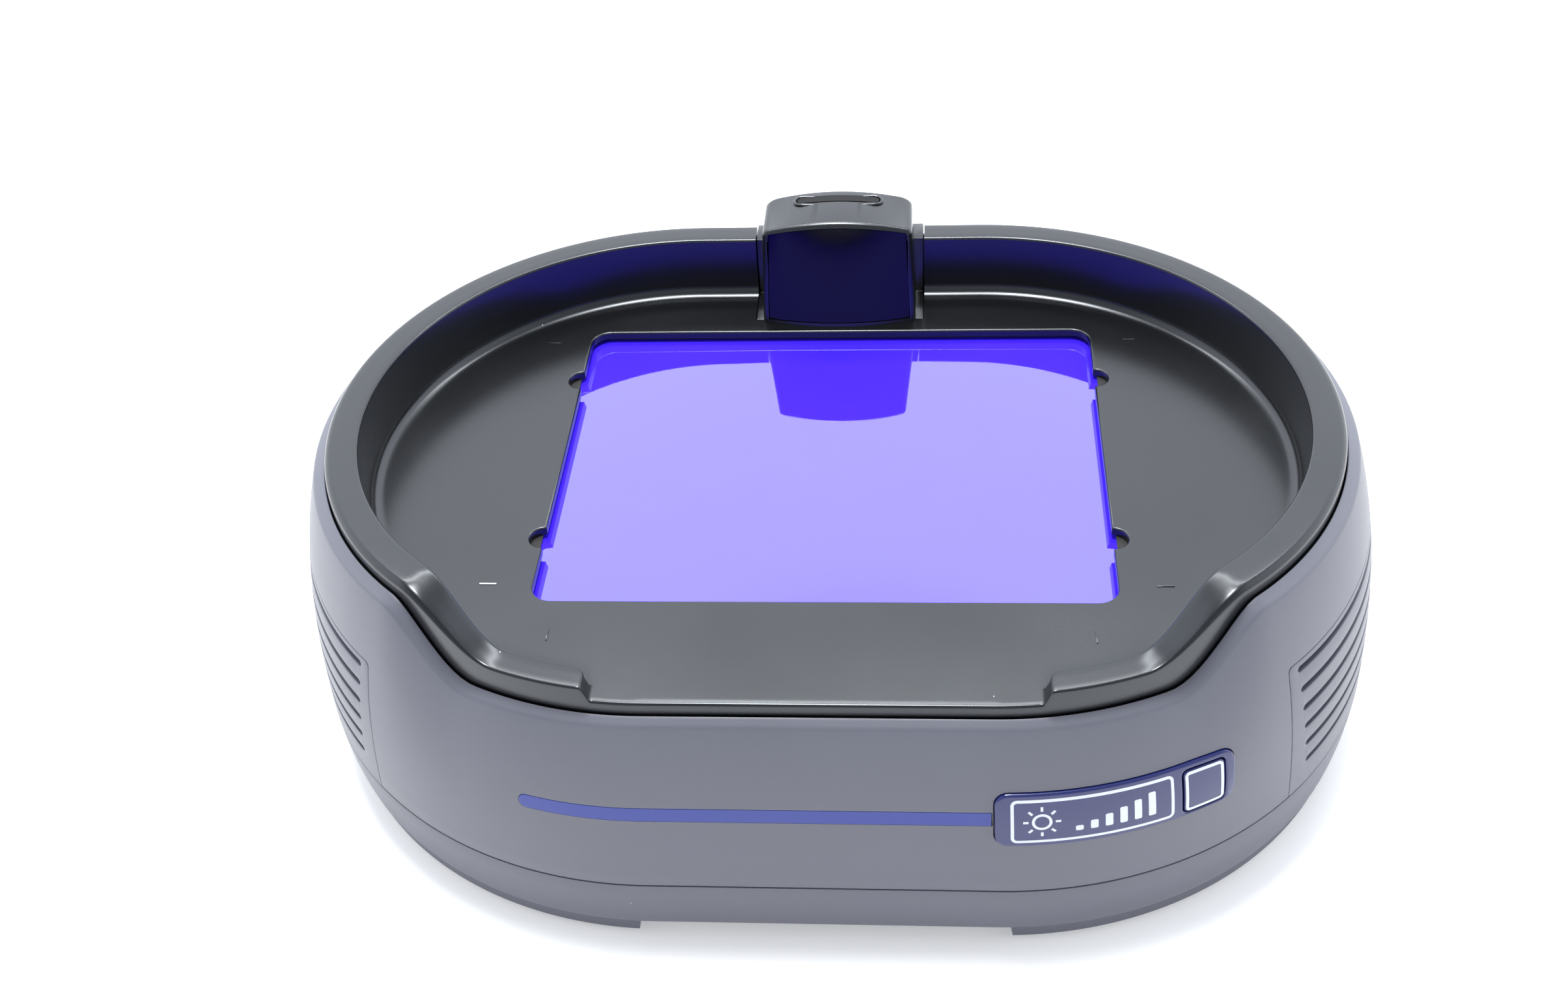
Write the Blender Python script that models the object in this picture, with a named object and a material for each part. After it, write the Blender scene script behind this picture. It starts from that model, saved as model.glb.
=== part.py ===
"""Blue-light gel viewer base: an oval housing with a tray on top, a filter window in the tray's deck,
a small tower at the back, side vents and a power key. Lengths are in millimetres until a mesh is made.
Origin: bench level, centre of the footprint. +X right, +Y to the back, +Z up."""
import math

import bmesh
import bpy
from mathutils import Matrix, Vector

MM = 0.001
GAP = 0.35                      # clearance between neighbouring pieces

# --- plan of the housing: stadiums, a = half the straight, yc = centre line -------------------------
TRAY_A, TRAY_YC = 42.0, -3.0
BODY_A, BODY_YC = 44.0, 0.0
SKIRT_R = 93.3                  # outside of the tray's rim
FLOOR_R, RIM_R = 83.9, 84.3     # foot and top of the basin wall
ARM_REAR, ARM_FRONT = 39.5, 22.5   # the rim falls between these angles round each end, in degrees
ARM_INSET = 2.2                 # how much narrower the low arms are than the rim
SHELL_TOP_R = SKIRT_R + 0.4     # inner edge of the grey shell's top
CHAMFER_R, CHAMFER_DROP = 97.0, 1.6
SEAM_R = 105.5
WALL = 2.6

# --- heights ----------------------------------------------------------------------------------------
FOOT_BOTTOM, RAIL_BOTTOM, PAN_BOTTOM, PAN_FLOOR = 0.0, 2.0, 7.0, 9.5
SEAM = 24.3
LEDGE_TOP, LEDGE_BOTTOM = 72.4, 70.2
DECK, DECK_T = 80.0, 2.2
RIM_TOP, ARM_TOP = 99.0, 84.2
SHELL_HIGH, SHELL_LOW = 94.8, 76.7

# --- window and tower -------------------------------------------------------------------------------
WINDOW_X, WINDOW_Y, WINDOW_CORNER = 74.25, 59.9, 5.5
NOTCH_Y, NOTCH_R = 35.5, 4.0
LIP_HALF = 53.6                 # half the open front of the tray
TOWER_X, TOWER_FRONT, TOWER_BULGE, TOWER_BACK = 23.0, 64.6, 2.9, 88.0
TOWER_SIDE_TOP, TOWER_CROWN = 110.0, 2.9
TOWER_LEAN, TOWER_TAPER, TOWER_FLATTEN = 0.107, 0.033, 0.057   # per mm of height over the deck
COLLAR_X, COLLAR_FRONT, COLLAR_BACK = 25.3, 66.4, 90.3
SHELF_BOTTOM, SHELF_TOP = 92.5, 94.5    # the shelf inside the tower that guides the plunger
PLUNGER_Y = 81.6

# --- label panel, key and stripe, as distances u along the front from its middle ---------------------
LABEL_U, LABEL_Z = (43.3, 106.1), (42.1, 58.5)
KEY_U, KEY_Z = (91.3, 102.9), (43.5, 56.5)
STRIPE_U, STRIPE_Z = (-75.7, 42.6), (48.5, 52.5)
VENT_TOP, VENT_FRONT, VENT_REAR = 72.5, 44.0, 136.0     # rear and front edges in degrees round the end
SLOT_Z = [69.5 - 7.1 * i for i in range(6)]
SLOT_H = 1.9
FAN_X, FAN_Z, FAN_SIZE, FAN_T = 118.0, 39.9, 60.0, 15.0


# --- scene and object helpers -----------------------------------------------------------------------
def clear_scene():
    for old in list(bpy.data.objects):
        bpy.data.objects.remove(old)
    for old in list(bpy.data.collections):
        bpy.data.collections.remove(old)


def new_collection(name):
    made = bpy.data.collections.new(name)
    bpy.context.scene.collection.children.link(made)
    return made


clear_scene()
PARTS = new_collection("gel_viewer_base")
CUTTERS = new_collection("cutters")


def material(name, colour, roughness, metallic=0.0):
    made = bpy.data.materials.get(name) or bpy.data.materials.new(name)
    made.use_nodes = True
    shader = made.node_tree.nodes["Principled BSDF"]
    shader.inputs["Base Color"].default_value = (*colour, 1.0)
    shader.inputs["Roughness"].default_value = roughness
    shader.inputs["Metallic"].default_value = metallic
    return made


def grey_shell():
    return material("grey_shell", (0.29, 0.31, 0.34), 0.5)


def black_plastic():
    return material("black_plastic", (0.02, 0.02, 0.022), 0.35)


def navy_gloss():
    return material("navy_gloss", (0.02, 0.025, 0.12), 0.1)


def steel():
    return material("steel", (0.6, 0.6, 0.6), 0.3, 1.0)


def rubber():
    return material("rubber", (0.015, 0.015, 0.015), 0.8)


def board_green():
    return material("board_green", (0.01, 0.12, 0.05), 0.45)


def white_plastic():
    return material("white_plastic", (0.8, 0.8, 0.8), 0.4)


def add_object(name, mesh, finish=None):
    """A part when it has a finish, otherwise a cutter."""
    made = bpy.data.objects.new(name, mesh)
    if finish is None:
        CUTTERS.objects.link(made)
        made.hide_render = True
        made.display_type = "WIRE"
    else:
        PARTS.objects.link(made)
        mesh.materials.append(finish)
    return made


def mesh_from(bm, name):
    bmesh.ops.recalc_face_normals(bm, faces=bm.faces)
    mesh = bpy.data.meshes.new(name)
    bm.to_mesh(mesh)
    bm.free()
    return mesh


def apply_boolean(target, tool, operation):
    step = target.modifiers.new(tool.name, "BOOLEAN")
    step.operation = operation
    step.solver = "EXACT"
    step.object = tool


def cut(target, *tools):
    for tool in tools:
        apply_boolean(target, tool, "DIFFERENCE")


def join(target, *tools):
    for tool in tools:
        apply_boolean(target, tool, "UNION")


def keep_inside(target, tool):
    apply_boolean(target, tool, "INTERSECT")


# --- shapes -----------------------------------------------------------------------------------------
def blocks(name, boxes, finish=None):
    """One or more boxes, each (x0, x1, y0, y1, z0, z1)."""
    bm = bmesh.new()
    for x0, x1, y0, y1, z0, z1 in boxes:
        size = Matrix.Diagonal(((x1 - x0) * MM, (y1 - y0) * MM, (z1 - z0) * MM, 1.0))
        middle = Vector(((x0 + x1) / 2, (y0 + y1) / 2, (z0 + z1) / 2)) * MM
        bmesh.ops.create_cube(bm, size=1.0, matrix=Matrix.Translation(middle) @ size)
    return add_object(name, mesh_from(bm, name), finish)


def rods(name, ends, radius, finish=None, sides=20):
    """Cylinders between pairs of points."""
    bm = bmesh.new()
    for start, end in ends:
        start, end = Vector(start) * MM, Vector(end) * MM
        turn = (end - start).to_track_quat("Z", "Y").to_matrix().to_4x4()
        bmesh.ops.create_cone(bm, cap_ends=True, segments=sides, radius1=radius * MM,
                              radius2=radius * MM, depth=(end - start).length,
                              matrix=Matrix.Translation((start + end) / 2) @ turn)
    return add_object(name, mesh_from(bm, name), finish)


AXIS_FRAMES = {                                       # outline plane for each extrusion axis
    "Z": Matrix.Identity(4),
    "Y": Matrix(((1, 0, 0, 0), (0, 0, 1, 0), (0, 1, 0, 0), (0, 0, 0, 1))),
    "X": Matrix(((0, 0, 1, 0), (1, 0, 0, 0), (0, 1, 0, 0), (0, 0, 0, 1))),
}


def plate(name, outline, low, high, finish=None, axis="Z"):
    """A flat outline as a filled 2D curve, extruded from low to high along an axis."""
    curve = bpy.data.curves.new(name, "CURVE")
    curve.dimensions = "2D"
    curve.fill_mode = "BOTH"
    curve.extrude = (high - low) / 2 * MM
    spline = curve.splines.new("POLY")
    spline.points.add(len(outline) - 1)
    for point, (p, q) in zip(spline.points, outline):
        point.co = (p * MM, q * MM, 0.0, 1.0)
    spline.use_cyclic_u = True
    flat = bpy.data.objects.new(name + "_curve", curve)
    PARTS.objects.link(flat)
    shift = Matrix.Translation((0, 0, (high + low) / 2 * MM))
    view = bpy.context.evaluated_depsgraph_get()
    view.update()
    mesh = bpy.data.meshes.new_from_object(flat.evaluated_get(view))
    bpy.data.objects.remove(flat)
    mesh.transform(AXIS_FRAMES[axis] @ shift)
    bm = bmesh.new()
    bm.from_mesh(mesh)
    bmesh.ops.remove_doubles(bm, verts=bm.verts, dist=1e-6)
    bpy.data.meshes.remove(mesh)
    return add_object(name, mesh_from(bm, name), finish)


def skin(name, rings, finish=None, hollow=False):
    """A loft through rings of equal length: capped at both ends, or closed on itself when hollow."""
    bm = bmesh.new()
    rows = [[bm.verts.new(Vector(p) * MM) for p in ring] for ring in rings]
    pairs = list(zip(rows, rows[1:]))
    if hollow:
        pairs.append((rows[-1], rows[0]))
    for lower, upper in pairs:
        for i in range(len(lower)):
            j = (i + 1) % len(lower)
            bm.faces.new((lower[i], lower[j], upper[j], upper[i]))
    if not hollow:
        bm.faces.new(rows[0])
        bm.faces.new(list(reversed(rows[-1])))
    return add_object(name, mesh_from(bm, name), finish)


def stadium(a, radius, yc, steps=26):
    turns = [math.pi * i / steps for i in range(steps + 1)]
    right = [(a + radius * math.sin(t), yc - radius * math.cos(t)) for t in turns]
    left = [(-x, 2 * yc - y) for x, y in right]
    return right + left


def ring_at(a, radius, yc, z, steps=26):
    return [(x, y, z) for x, y in stadium(a, radius, yc, steps)]


def rounded_rectangle(cx, cy, half_x, half_y, corner, steps=5):
    outline = []
    for sx, sy, first in ((1, -1, -90), (1, 1, 0), (-1, 1, 90), (-1, -1, 180)):
        for i in range(steps + 1):
            t = math.radians(first + 90 * i / steps)
            outline.append((cx + sx * (half_x - corner) + corner * math.cos(t),
                            cy + sy * (half_y - corner) + corner * math.sin(t)))
    return outline


def smooth_step(t):
    t = min(max(t, 0.0), 1.0)
    return t * t * (3 - 2 * t)


# --- the grey housing's outer surface ---------------------------------------------------------------
def shell_top(y):
    """Height of the grey shell's top edge: it dips in an S towards the front."""
    return SHELL_HIGH - (SHELL_HIGH - SHELL_LOW) * smooth_step((-73.5 - y) / 13.5)


def rim_fall(turn):
    """0 on the full rim and 1 on the low arms, turn radians round an end from the front."""
    return smooth_step((ARM_REAR - math.degrees(turn)) / (ARM_REAR - ARM_FRONT))


def rim_top(turn):
    return RIM_TOP - (RIM_TOP - ARM_TOP) * rim_fall(turn)


ARC = math.pi * SEAM_R
HALF_ROUND = BODY_A + ARC + BODY_A


def round_the_body(u, radius, a, yc):
    """Point and outward direction at distance u along the body's outline from the front's middle."""
    side = 1.0 if u >= 0 else -1.0
    s = abs(u)
    if s <= BODY_A:
        return side * s * a / BODY_A, yc - radius, 0.0, -1.0
    if s <= BODY_A + ARC:
        t = (s - BODY_A) / SEAM_R
        return (side * (a + radius * math.sin(t)), yc - radius * math.cos(t),
                side * math.sin(t), -math.cos(t))
    return side * (HALF_ROUND - s) * a / BODY_A, yc + radius, 0.0, 1.0


def top_at(u):
    _, y, _, _ = round_the_body(u, SHELL_TOP_R, TRAY_A, TRAY_YC)
    return shell_top(y)


def body_surface(u, z, out=0.0):
    """A point on the upper shell's outer surface at height z, moved outwards by out."""
    down = (SHELL_HIGH - z) / (SHELL_HIGH - SEAM)
    a = TRAY_A + (BODY_A - TRAY_A) * down
    yc = TRAY_YC + (BODY_YC - TRAY_YC) * down
    start = top_at(u) - CHAMFER_DROP
    t = min(max((start - z) / (start - SEAM), 0.0), 1.0)
    radius = CHAMFER_R + (SEAM_R - CHAMFER_R) * (1 - (1 - t) ** 2.5)
    x, y, nx, ny = round_the_body(u, radius, a, yc)
    return x + nx * out, y + ny * out, z


def patch(name, u0, u1, z0, z1, inner, outer, finish=None, steps=12, rows=3):
    """A slab wrapped on the body's surface. u0 and u1 may be functions of the height."""
    left = u0 if callable(u0) else (lambda z: u0)
    right = u1 if callable(u1) else (lambda z: u1)
    heights = [z0 + (z1 - z0) * k / rows for k in range(rows + 1)]
    rings = []
    for i in range(steps + 1):
        f = i / steps
        front = [body_surface(left(z) + (right(z) - left(z)) * f, z, outer) for z in heights]
        back = [body_surface(left(z) + (right(z) - left(z)) * f, z, inner) for z in heights]
        rings.append(front + back[::-1])
    return skin(name, rings, finish)


def outline_stations(steps=30, straight=2):
    """Distances u once round the body, closer together round the ends."""
    half = [BODY_A * i / straight for i in range(straight)]
    half += [BODY_A + ARC * i / steps for i in range(steps)]
    half += [BODY_A + ARC + BODY_A * i / straight for i in range(straight)]
    return [-u for u in reversed(half[1:])] + half + [HALF_ROUND]


# --- housing ----------------------------------------------------------------------------------------
BOSSES = [(sx * 36.0, sy * 95.0) for sx in (-1, 1) for sy in (-1, 1)]
BOSS_FOOT = 13.6                # top of the pan's pads, where the shell's bosses land
HEAD_SEAT = 10.2                # depth of the pan's counterbores
RIB_REACH = 100.6
STANDOFFS = [(x, y) for x in (-131.0, -93.0) for y in (-24.0, 24.0)]


def make_upper_shell():
    stations = outline_stations()
    shares = (1.0, 0.65, 0.35, 0.12, 0.0)
    rings = []
    for share in shares:
        ring = []
        for u in stations:
            start = top_at(u) - CHAMFER_DROP
            ring.append(body_surface(u, start + (SEAM - start) * share))
        rings.append(ring)
    for z_of, radius in ((top_at, SHELL_TOP_R), (lambda u: LEDGE_TOP, SHELL_TOP_R),
                         (lambda u: LEDGE_TOP, 90.5), (lambda u: LEDGE_BOTTOM, 90.5)):
        rings.append([(*round_the_body(u, radius, TRAY_A, TRAY_YC)[:2], z_of(u)) for u in stations])
    for z in (66.0, 45.0, SEAM):
        rings.append([body_surface(u, z, -WALL) for u in stations])
    shell = skin("upper_shell", rings, grey_shell(), hollow=True)
    ribs = blocks("shell_ribs", [(x - 1, x + 1, min(y, math.copysign(RIB_REACH, y)),
                                  max(y, math.copysign(RIB_REACH, y)), 40, 68) for x, y in BOSSES])
    bosses = rods("shell_bosses", [((x, y, BOSS_FOOT + GAP), (x, y, 62)) for x, y in BOSSES], 4.5)
    join(shell, ribs, bosses)
    cut(shell, rods("boss_holes", [((x, y, 5), (x, y, 38)) for x, y in BOSSES], 1.9, sides=14))
    for side in (-1, 1):
        cut(shell, patch(f"vent_opening_{side}", *vent_edges(side, 0.0), 20, VENT_TOP, -8, 4, steps=18))
    cut(shell, patch("label_recess", LABEL_U[0] - GAP, LABEL_U[1] + GAP, LABEL_Z[0] - GAP,
                     LABEL_Z[1] + GAP, -1.6, 4, steps=14))
    cut(shell, patch("stripe_groove", STRIPE_U[0] - GAP, STRIPE_U[1] + 0.3, STRIPE_Z[0] - 0.3,
                     STRIPE_Z[1] + 0.3, -0.9, 4, steps=14, rows=1))
    cut(shell, rods("key_hole", [(key_point(-8), key_point(4))], 3.0))
    cut(shell, rods("inlet_hole", [((INLET_X, 90, INLET_Z), (INLET_X, 115, INLET_Z))], 5.4))
    return shell


def make_base_pan():
    outside = [ring_at(BODY_A, r, BODY_YC, z) for z, r in
               ((RAIL_BOTTOM, 102.2), (PAN_BOTTOM, 102.2), (PAN_BOTTOM + 0.2, 103.5),
                (14.0, 104.7), (SEAM - 0.4, SEAM_R))]
    pan = skin("base_pan", outside, grey_shell())
    inside = [ring_at(BODY_A, r, BODY_YC, z) for z, r in
              ((PAN_FLOOR, 100.8), (14.0, 102.0), (30.0, SEAM_R - WALL))]
    cut(pan, skin("pan_inside", inside))
    cut(pan, plate("pan_under", stadium(BODY_A, 97.4, BODY_YC), -5, PAN_BOTTOM))
    for side in (-1, 1):
        gap = [(-47.5, side * 60), (47.5, side * 60), (47.5, side * 120), (-47.5, side * 120)]
        cut(pan, plate(f"finger_gap_{side}", gap, -5, PAN_BOTTOM + 0.1))
    join(pan, rods("standoffs", [((x, y, 9), (x, y, 12.6)) for x, y in STANDOFFS], 3.0))
    join(pan, blocks("fan_cradle", [(x, x + 2.2, -20, 20, 9, 16) for x in
                                    (FAN_X - FAN_T / 2 - 2.6, FAN_X + FAN_T / 2 + 0.4)]))
    join(pan, rods("screw_pads", [((x, y, PAN_FLOOR - 0.5), (x, y, BOSS_FOOT)) for x, y in BOSSES], 5.2))
    cut(pan, rods("counterbores", [((x, y, 0), (x, y, HEAD_SEAT)) for x, y in BOSSES], 3.6))
    cut(pan, rods("shell_screw_holes", [((x, y, 0), (x, y, 20)) for x, y in BOSSES], 2.0, sides=14))
    cut(pan, rods("board_screw_holes", [((x, y, 10), (x, y, 14)) for x, y in STANDOFFS], 1.4))
    return pan


def make_feet():
    for i, (x, y) in enumerate(((-92, -58), (92, -58), (92, 58), (-92, 58)), 1):
        foot = rods(f"foot_{i}", [((x, y, FOOT_BOTTOM), (x, y, PAN_BOTTOM - GAP))], 8.0, rubber(), 28)
        cut(foot, rods(f"foot_dish_{i}", [((x, y, -2), (x, y, 0.8))], 3.5))


def make_shell_screws():
    for i, (x, y) in enumerate(BOSSES, 1):
        screw = rods(f"shell_screw_{i}", [((x, y, 7.5), (x, y, HEAD_SEAT - GAP))], 3.1, steel(), 16)
        join(screw, rods(f"shell_shank_{i}", [((x, y, 9), (x, y, 36))], 1.5, sides=12))


def vent_edges(side, inset):
    """Front and rear edges of a vent panel as functions of height; they lean slightly backwards."""
    def edge(degrees, lean):
        start = BODY_A + math.radians(degrees) * SEAM_R
        return lambda z: side * (start + lean * (inset + 0.07 * (VENT_TOP - z)))
    return edge(VENT_FRONT, 1), edge(VENT_REAR, -1)


def make_vent_panel(name, side):
    panel = patch(name, *vent_edges(side, GAP), SEAM, VENT_TOP - GAP, -WALL, 0.0, grey_shell(), steps=13, rows=3)
    for k, degrees in enumerate((66, 90, 114)):
        middle = side * (BODY_A + math.radians(degrees) * SEAM_R)
        join(panel, patch(f"{name}_rib_{k}", middle - 1.2, middle + 1.2, 26, 71, -5.2, -2.2, steps=2))
    for k, z in enumerate(SLOT_Z):
        start = BODY_A + math.radians(46.2 + 0.62 * k) * SEAM_R
        end = BODY_A + math.radians(133.8 - 0.62 * k) * SEAM_R
        cut(panel, patch(f"{name}_slot_{k}", side * start, side * end, z - SLOT_H / 2, z + SLOT_H / 2,
                         -WALL - 0.2, 4, steps=7, rows=1))
    return panel


# --- tray, window and light source ------------------------------------------------------------------
CLAMP_SCREWS = [(sx * 84.5, sy * 40.0) for sx in (-1, 1) for sy in (-1, 1)]


def basin_ring(z, radius, steps=36):
    """The basin's outline, a little wider where the arms are narrow."""
    right = []
    for i in range(steps + 1):
        t = math.pi * i / steps
        r = radius + ARM_INSET * rim_fall(t)
        right.append((TRAY_A + r * math.sin(t), TRAY_YC - r * math.cos(t), z))
    return right + [(-x, y, z) for x, y, z in reversed(right)]


def over_the_arm(side):
    """Everything above the rim's S and the low arm on one side."""
    rings = []
    for i in range(17):
        t = math.radians(ARM_REAR + 0.5 - 2.2 * i)
        low = rim_top(t) + (0.3 if i == 0 else 0.0)
        inner, outer = ((side * (TRAY_A + r * math.sin(t)), TRAY_YC - r * math.cos(t)) for r in (70, 105))
        rings.append([(*inner, low), (*outer, low), (*outer, RIM_TOP + 13), (*inner, RIM_TOP + 13)])
    return skin(f"over_the_arm_{side}", rings)


def make_tray():
    tray = plate("tray", stadium(TRAY_A, SKIRT_R, TRAY_YC), LEDGE_TOP + 0.3, RIM_TOP, black_plastic())
    cut(tray, skin("basin", [basin_ring(DECK, FLOOR_R), basin_ring(RIM_TOP + 4, RIM_R)]))
    cut(tray, over_the_arm(1), over_the_arm(-1))
    cut(tray, blocks("open_front", [(-LIP_HALF, LIP_HALF, -110, -78, DECK, RIM_TOP)]))
    cut(tray, plate("under_deck", stadium(TRAY_A, 90.6, TRAY_YC), 60, DECK - DECK_T))
    rim_hollow = skin("rim_hollow", [ring_at(TRAY_A, r, TRAY_YC, z) for r, z in
                                     ((91.0, 60), (91.0, 96.4), (87.4, 96.4), (87.4, 60))], hollow=True)
    keep_inside(rim_hollow, blocks("rim_hollow_part", [(-150, 150, -72, 100, 50, 110)]))
    cut(tray, rim_hollow)
    join(tray, blocks("tower_seat", [(-31, 31, 65, 89.8, 73.8, DECK - 0.4)]))
    join(tray, rods("clamp_bosses", [((x, y, 73.6), (x, y, 78.6)) for x, y in CLAMP_SCREWS], 3.5))
    cut(tray, rods("clamp_holes", [((x, y, 70), (x, y, 76.8)) for x, y in CLAMP_SCREWS], 1.6, sides=12))
    cut(tray, plate("window_opening", rounded_rectangle(0, 0, WINDOW_X, WINDOW_Y, WINDOW_CORNER), 60, 90))
    cut(tray, rods("window_notches", [((sx * WINDOW_X, sy * NOTCH_Y, 60), (sx * WINDOW_X, sy * NOTCH_Y, 90))
                                      for sx in (-1, 1) for sy in (-1, 1)], NOTCH_R))
    cut(tray, blocks("tower_pocket", [(-COLLAR_X - GAP, COLLAR_X + GAP, COLLAR_FRONT - GAP, 110,
                                       DECK - 1.6, 120)]))
    cut(tray, rods("lead_hole_tray", [((15, 80, 60), (15, 80, 90))], 3.0))
    return tray


def frame_plate(name, half_x, half_y, open_x, open_y, z0, z1, finish, corner=4.0):
    made = plate(name, rounded_rectangle(0, 0, half_x, half_y, corner, 3), z0, z1, finish)
    opening = rounded_rectangle(0, 0, open_x, open_y, corner, 3)
    cut(made, plate(name + "_opening", opening, z0 - 5, z1 + 5))
    return made


def make_glass_stack():
    frame_plate("glass_gasket", 79.5, 64.5, 75.5, 61.0, 76.8, 77.45, rubber(), 3.0)
    plate("filter_glass", rounded_rectangle(0, 0, 79.0, 64.0, 2.0, 3), 73.5, 76.45,
          material("filter_glass", (0.03, 0.02, 0.6), 0.05))
    clamp = frame_plate("clamp_frame", 89.5, 67.0, 71.0, 56.0, 71.2, 73.2, black_plastic())
    cut(clamp, rods("clamp_frame_holes", [((x, y, 60), (x, y, 90)) for x, y in CLAMP_SCREWS], 1.6, sides=12))
    for i, (x, y) in enumerate(CLAMP_SCREWS, 1):
        screw = rods(f"clamp_screw_{i}", [((x, y, 69.2), (x, y, 70.85))], 2.7, steel(), 16)
        join(screw, rods(f"clamp_shank_{i}", [((x, y, 70), (x, y, 76.4))], 1.25, sides=12))


def make_light_source():
    white = white_plastic()
    box = plate("light_box", rounded_rectangle(0, 0, 76, 62, 4, 3), 44, 70.8, white)
    cut(box, plate("diffuser_seat", rounded_rectangle(0, 0, 73.2, 59.2, 3, 3), 66.7, 80))
    cut(box, plate("light_well", rounded_rectangle(0, 0, 70.5, 56.5, 3, 3), 46.5, 80))
    cut(box, rods("lead_hole_box", [((-90, 0, 50.8), (-60, 0, 50.8))], 2.0, sides=12))
    plate("diffuser_plate", rounded_rectangle(0, 0, 72.8, 58.8, 3, 3), 67.05, 70.0,
          material("diffuser", (0.85, 0.85, 0.9), 0.5))
    board = plate("led_board", rounded_rectangle(0, 0, 66, 52, 2, 3), 46.9, 48.5, board_green())
    lamps = [(x - 1.75, x + 1.75, y - 1.75, y + 1.75, 48.2, 49.9)
             for x in (-45, -27, -9, 9, 27, 45) for y in (-36, -18, 0, 18, 36)]
    join(board, blocks("leds", lamps))
    join(board, blocks("led_socket", [(-63, -57, -4, 4, 48.2, 53.5)]))
    sink = blocks("heat_sink", [(-60, 60, -45, 45, 39.5, 43.6)],
                  material("aluminium", (0.75, 0.75, 0.77), 0.35, 1.0))
    join(sink, blocks("fins", [(-60, 60, y - 0.9, y + 0.9, 24, 40) for y in range(-42, 43, 12)]))


# --- moving air, power and wiring -------------------------------------------------------------------
INLET_X, INLET_Z = -58.0, 40.0


def make_fan():
    half = FAN_SIZE / 2
    x0, x1 = FAN_X - FAN_T / 2, FAN_X + FAN_T / 2
    frame = blocks("fan_frame", [(x0, x1, -half, half, FAN_Z - half, FAN_Z + half)], black_plastic())
    cut(frame, rods("fan_bore", [((x0 - 5, 0, FAN_Z), (x1 + 5, 0, FAN_Z))], 28.0, sides=36))
    hub_back = rods("fan_motor_seat", [((x0, 0, FAN_Z), (x0 + 2.5, 0, FAN_Z))], 12.0, sides=24)
    struts = blocks("fan_struts", [(x0, x0 + 2, -half + 1, half - 1, FAN_Z - 1.5, FAN_Z + 1.5),
                                   (x0 + 0.2, x0 + 2.2, -1.5, 1.5, FAN_Z - half + 1, FAN_Z + half - 1)])
    apply_boolean(struts, hub_back, "UNION")
    struts.modifiers[-1].use_self = True
    join(frame, struts)
    rotor = rods("fan_rotor", [((x0 + 3.0, 0, FAN_Z), (x1 - 1.0, 0, FAN_Z))], 11.5, black_plastic(), 24)
    bm = bmesh.new()
    for k in range(7):
        slope = Matrix.Rotation(math.radians(38), 4, "Z")
        size = Matrix.Diagonal((13.0 * MM, 1.3 * MM, 16.5 * MM, 1.0))
        lift = Matrix.Translation((0, 0, 18.6 * MM))
        turn = Matrix.Rotation(2 * math.pi * k / 7, 4, "X")
        bmesh.ops.create_cube(bm, size=1.0, matrix=turn @ lift @ slope @ size)
    blades = add_object("fan_blades", mesh_from(bm, "fan_blades"))
    blades.location = ((FAN_X + 1.0) * MM, 0, FAN_Z * MM)
    join(rotor, blades)


def make_driver_board():
    board = blocks("driver_board", [(-136, -88, -29, 29, 12.95, 14.55)], board_green())
    cut(board, rods("board_holes", [((x, y, 5), (x, y, 20)) for x, y in STANDOFFS], 1.6, sides=12))
    join(board, blocks("board_components", [(-124, -110, -6, 10, 14.2, 26), (-106, -98, -18, -8, 14.2, 22),
                                            (-128, -118, -22, -12, 14.2, 20), (-92, -88.5, 6, 14, 14.2, 20),
                                            (-92, -88.5, -16, -8, 14.2, 20), (-112, -104, 24.5, 28.8, 14.2, 20),
                                            (-112, -104, -28.8, -24.5, 14.2, 20),
                                            (-102, -96, 12, 18, 14.2, 17)]))
    for i, (x, y) in enumerate(STANDOFFS, 1):
        screw = rods(f"board_screw_{i}", [((x, y, 14.9), (x, y, 16.4))], 2.4, steel(), 14)
        join(screw, rods(f"board_shank_{i}", [((x, y, 10.5), (x, y, 15.5))], 1.05, sides=10))


def make_dc_inlet():
    inlet = blocks("dc_inlet", [(INLET_X - 6, INLET_X + 6, 87, 99.2, INLET_Z - 6, INLET_Z + 6)],
                   black_plastic())
    join(inlet, rods("inlet_nose", [((INLET_X, 98, INLET_Z), (INLET_X, 103.6, INLET_Z))], 5.0))
    cut(inlet, rods("inlet_bore", [((INLET_X, 92, INLET_Z), (INLET_X, 110, INLET_Z))], 2.75))


def lead(name, route, colour):
    """A thin wire: a poly spline read from a smooth curve through the route's points."""
    points = [Vector(p) for p in route]
    ends = [points[0] * 2 - points[1]] + points + [points[-1] * 2 - points[-2]]
    smooth = []
    for i in range(1, len(ends) - 2):
        p0, p1, p2, p3 = ends[i - 1:i + 3]
        for k in range(3):
            t = k / 3
            smooth.append(0.5 * (2 * p1 + (p2 - p0) * t + (2 * p0 - 5 * p1 + 4 * p2 - p3) * t * t
                                 + (3 * p1 - p0 - 3 * p2 + p3) * t ** 3))
    smooth.append(points[-1])
    curve = bpy.data.curves.new(name, "CURVE")
    curve.dimensions = "3D"
    curve.bevel_depth = 1.1 * MM
    curve.bevel_resolution = 1
    curve.use_fill_caps = True
    spline = curve.splines.new("POLY")
    spline.points.add(len(smooth) - 1)
    for point, place in zip(spline.points, smooth):
        point.co = (*(place * MM), 1.0)
    made = bpy.data.objects.new(name, curve)
    PARTS.objects.link(made)
    curve.materials.append(material(name + "_colour", colour, 0.5))


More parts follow.
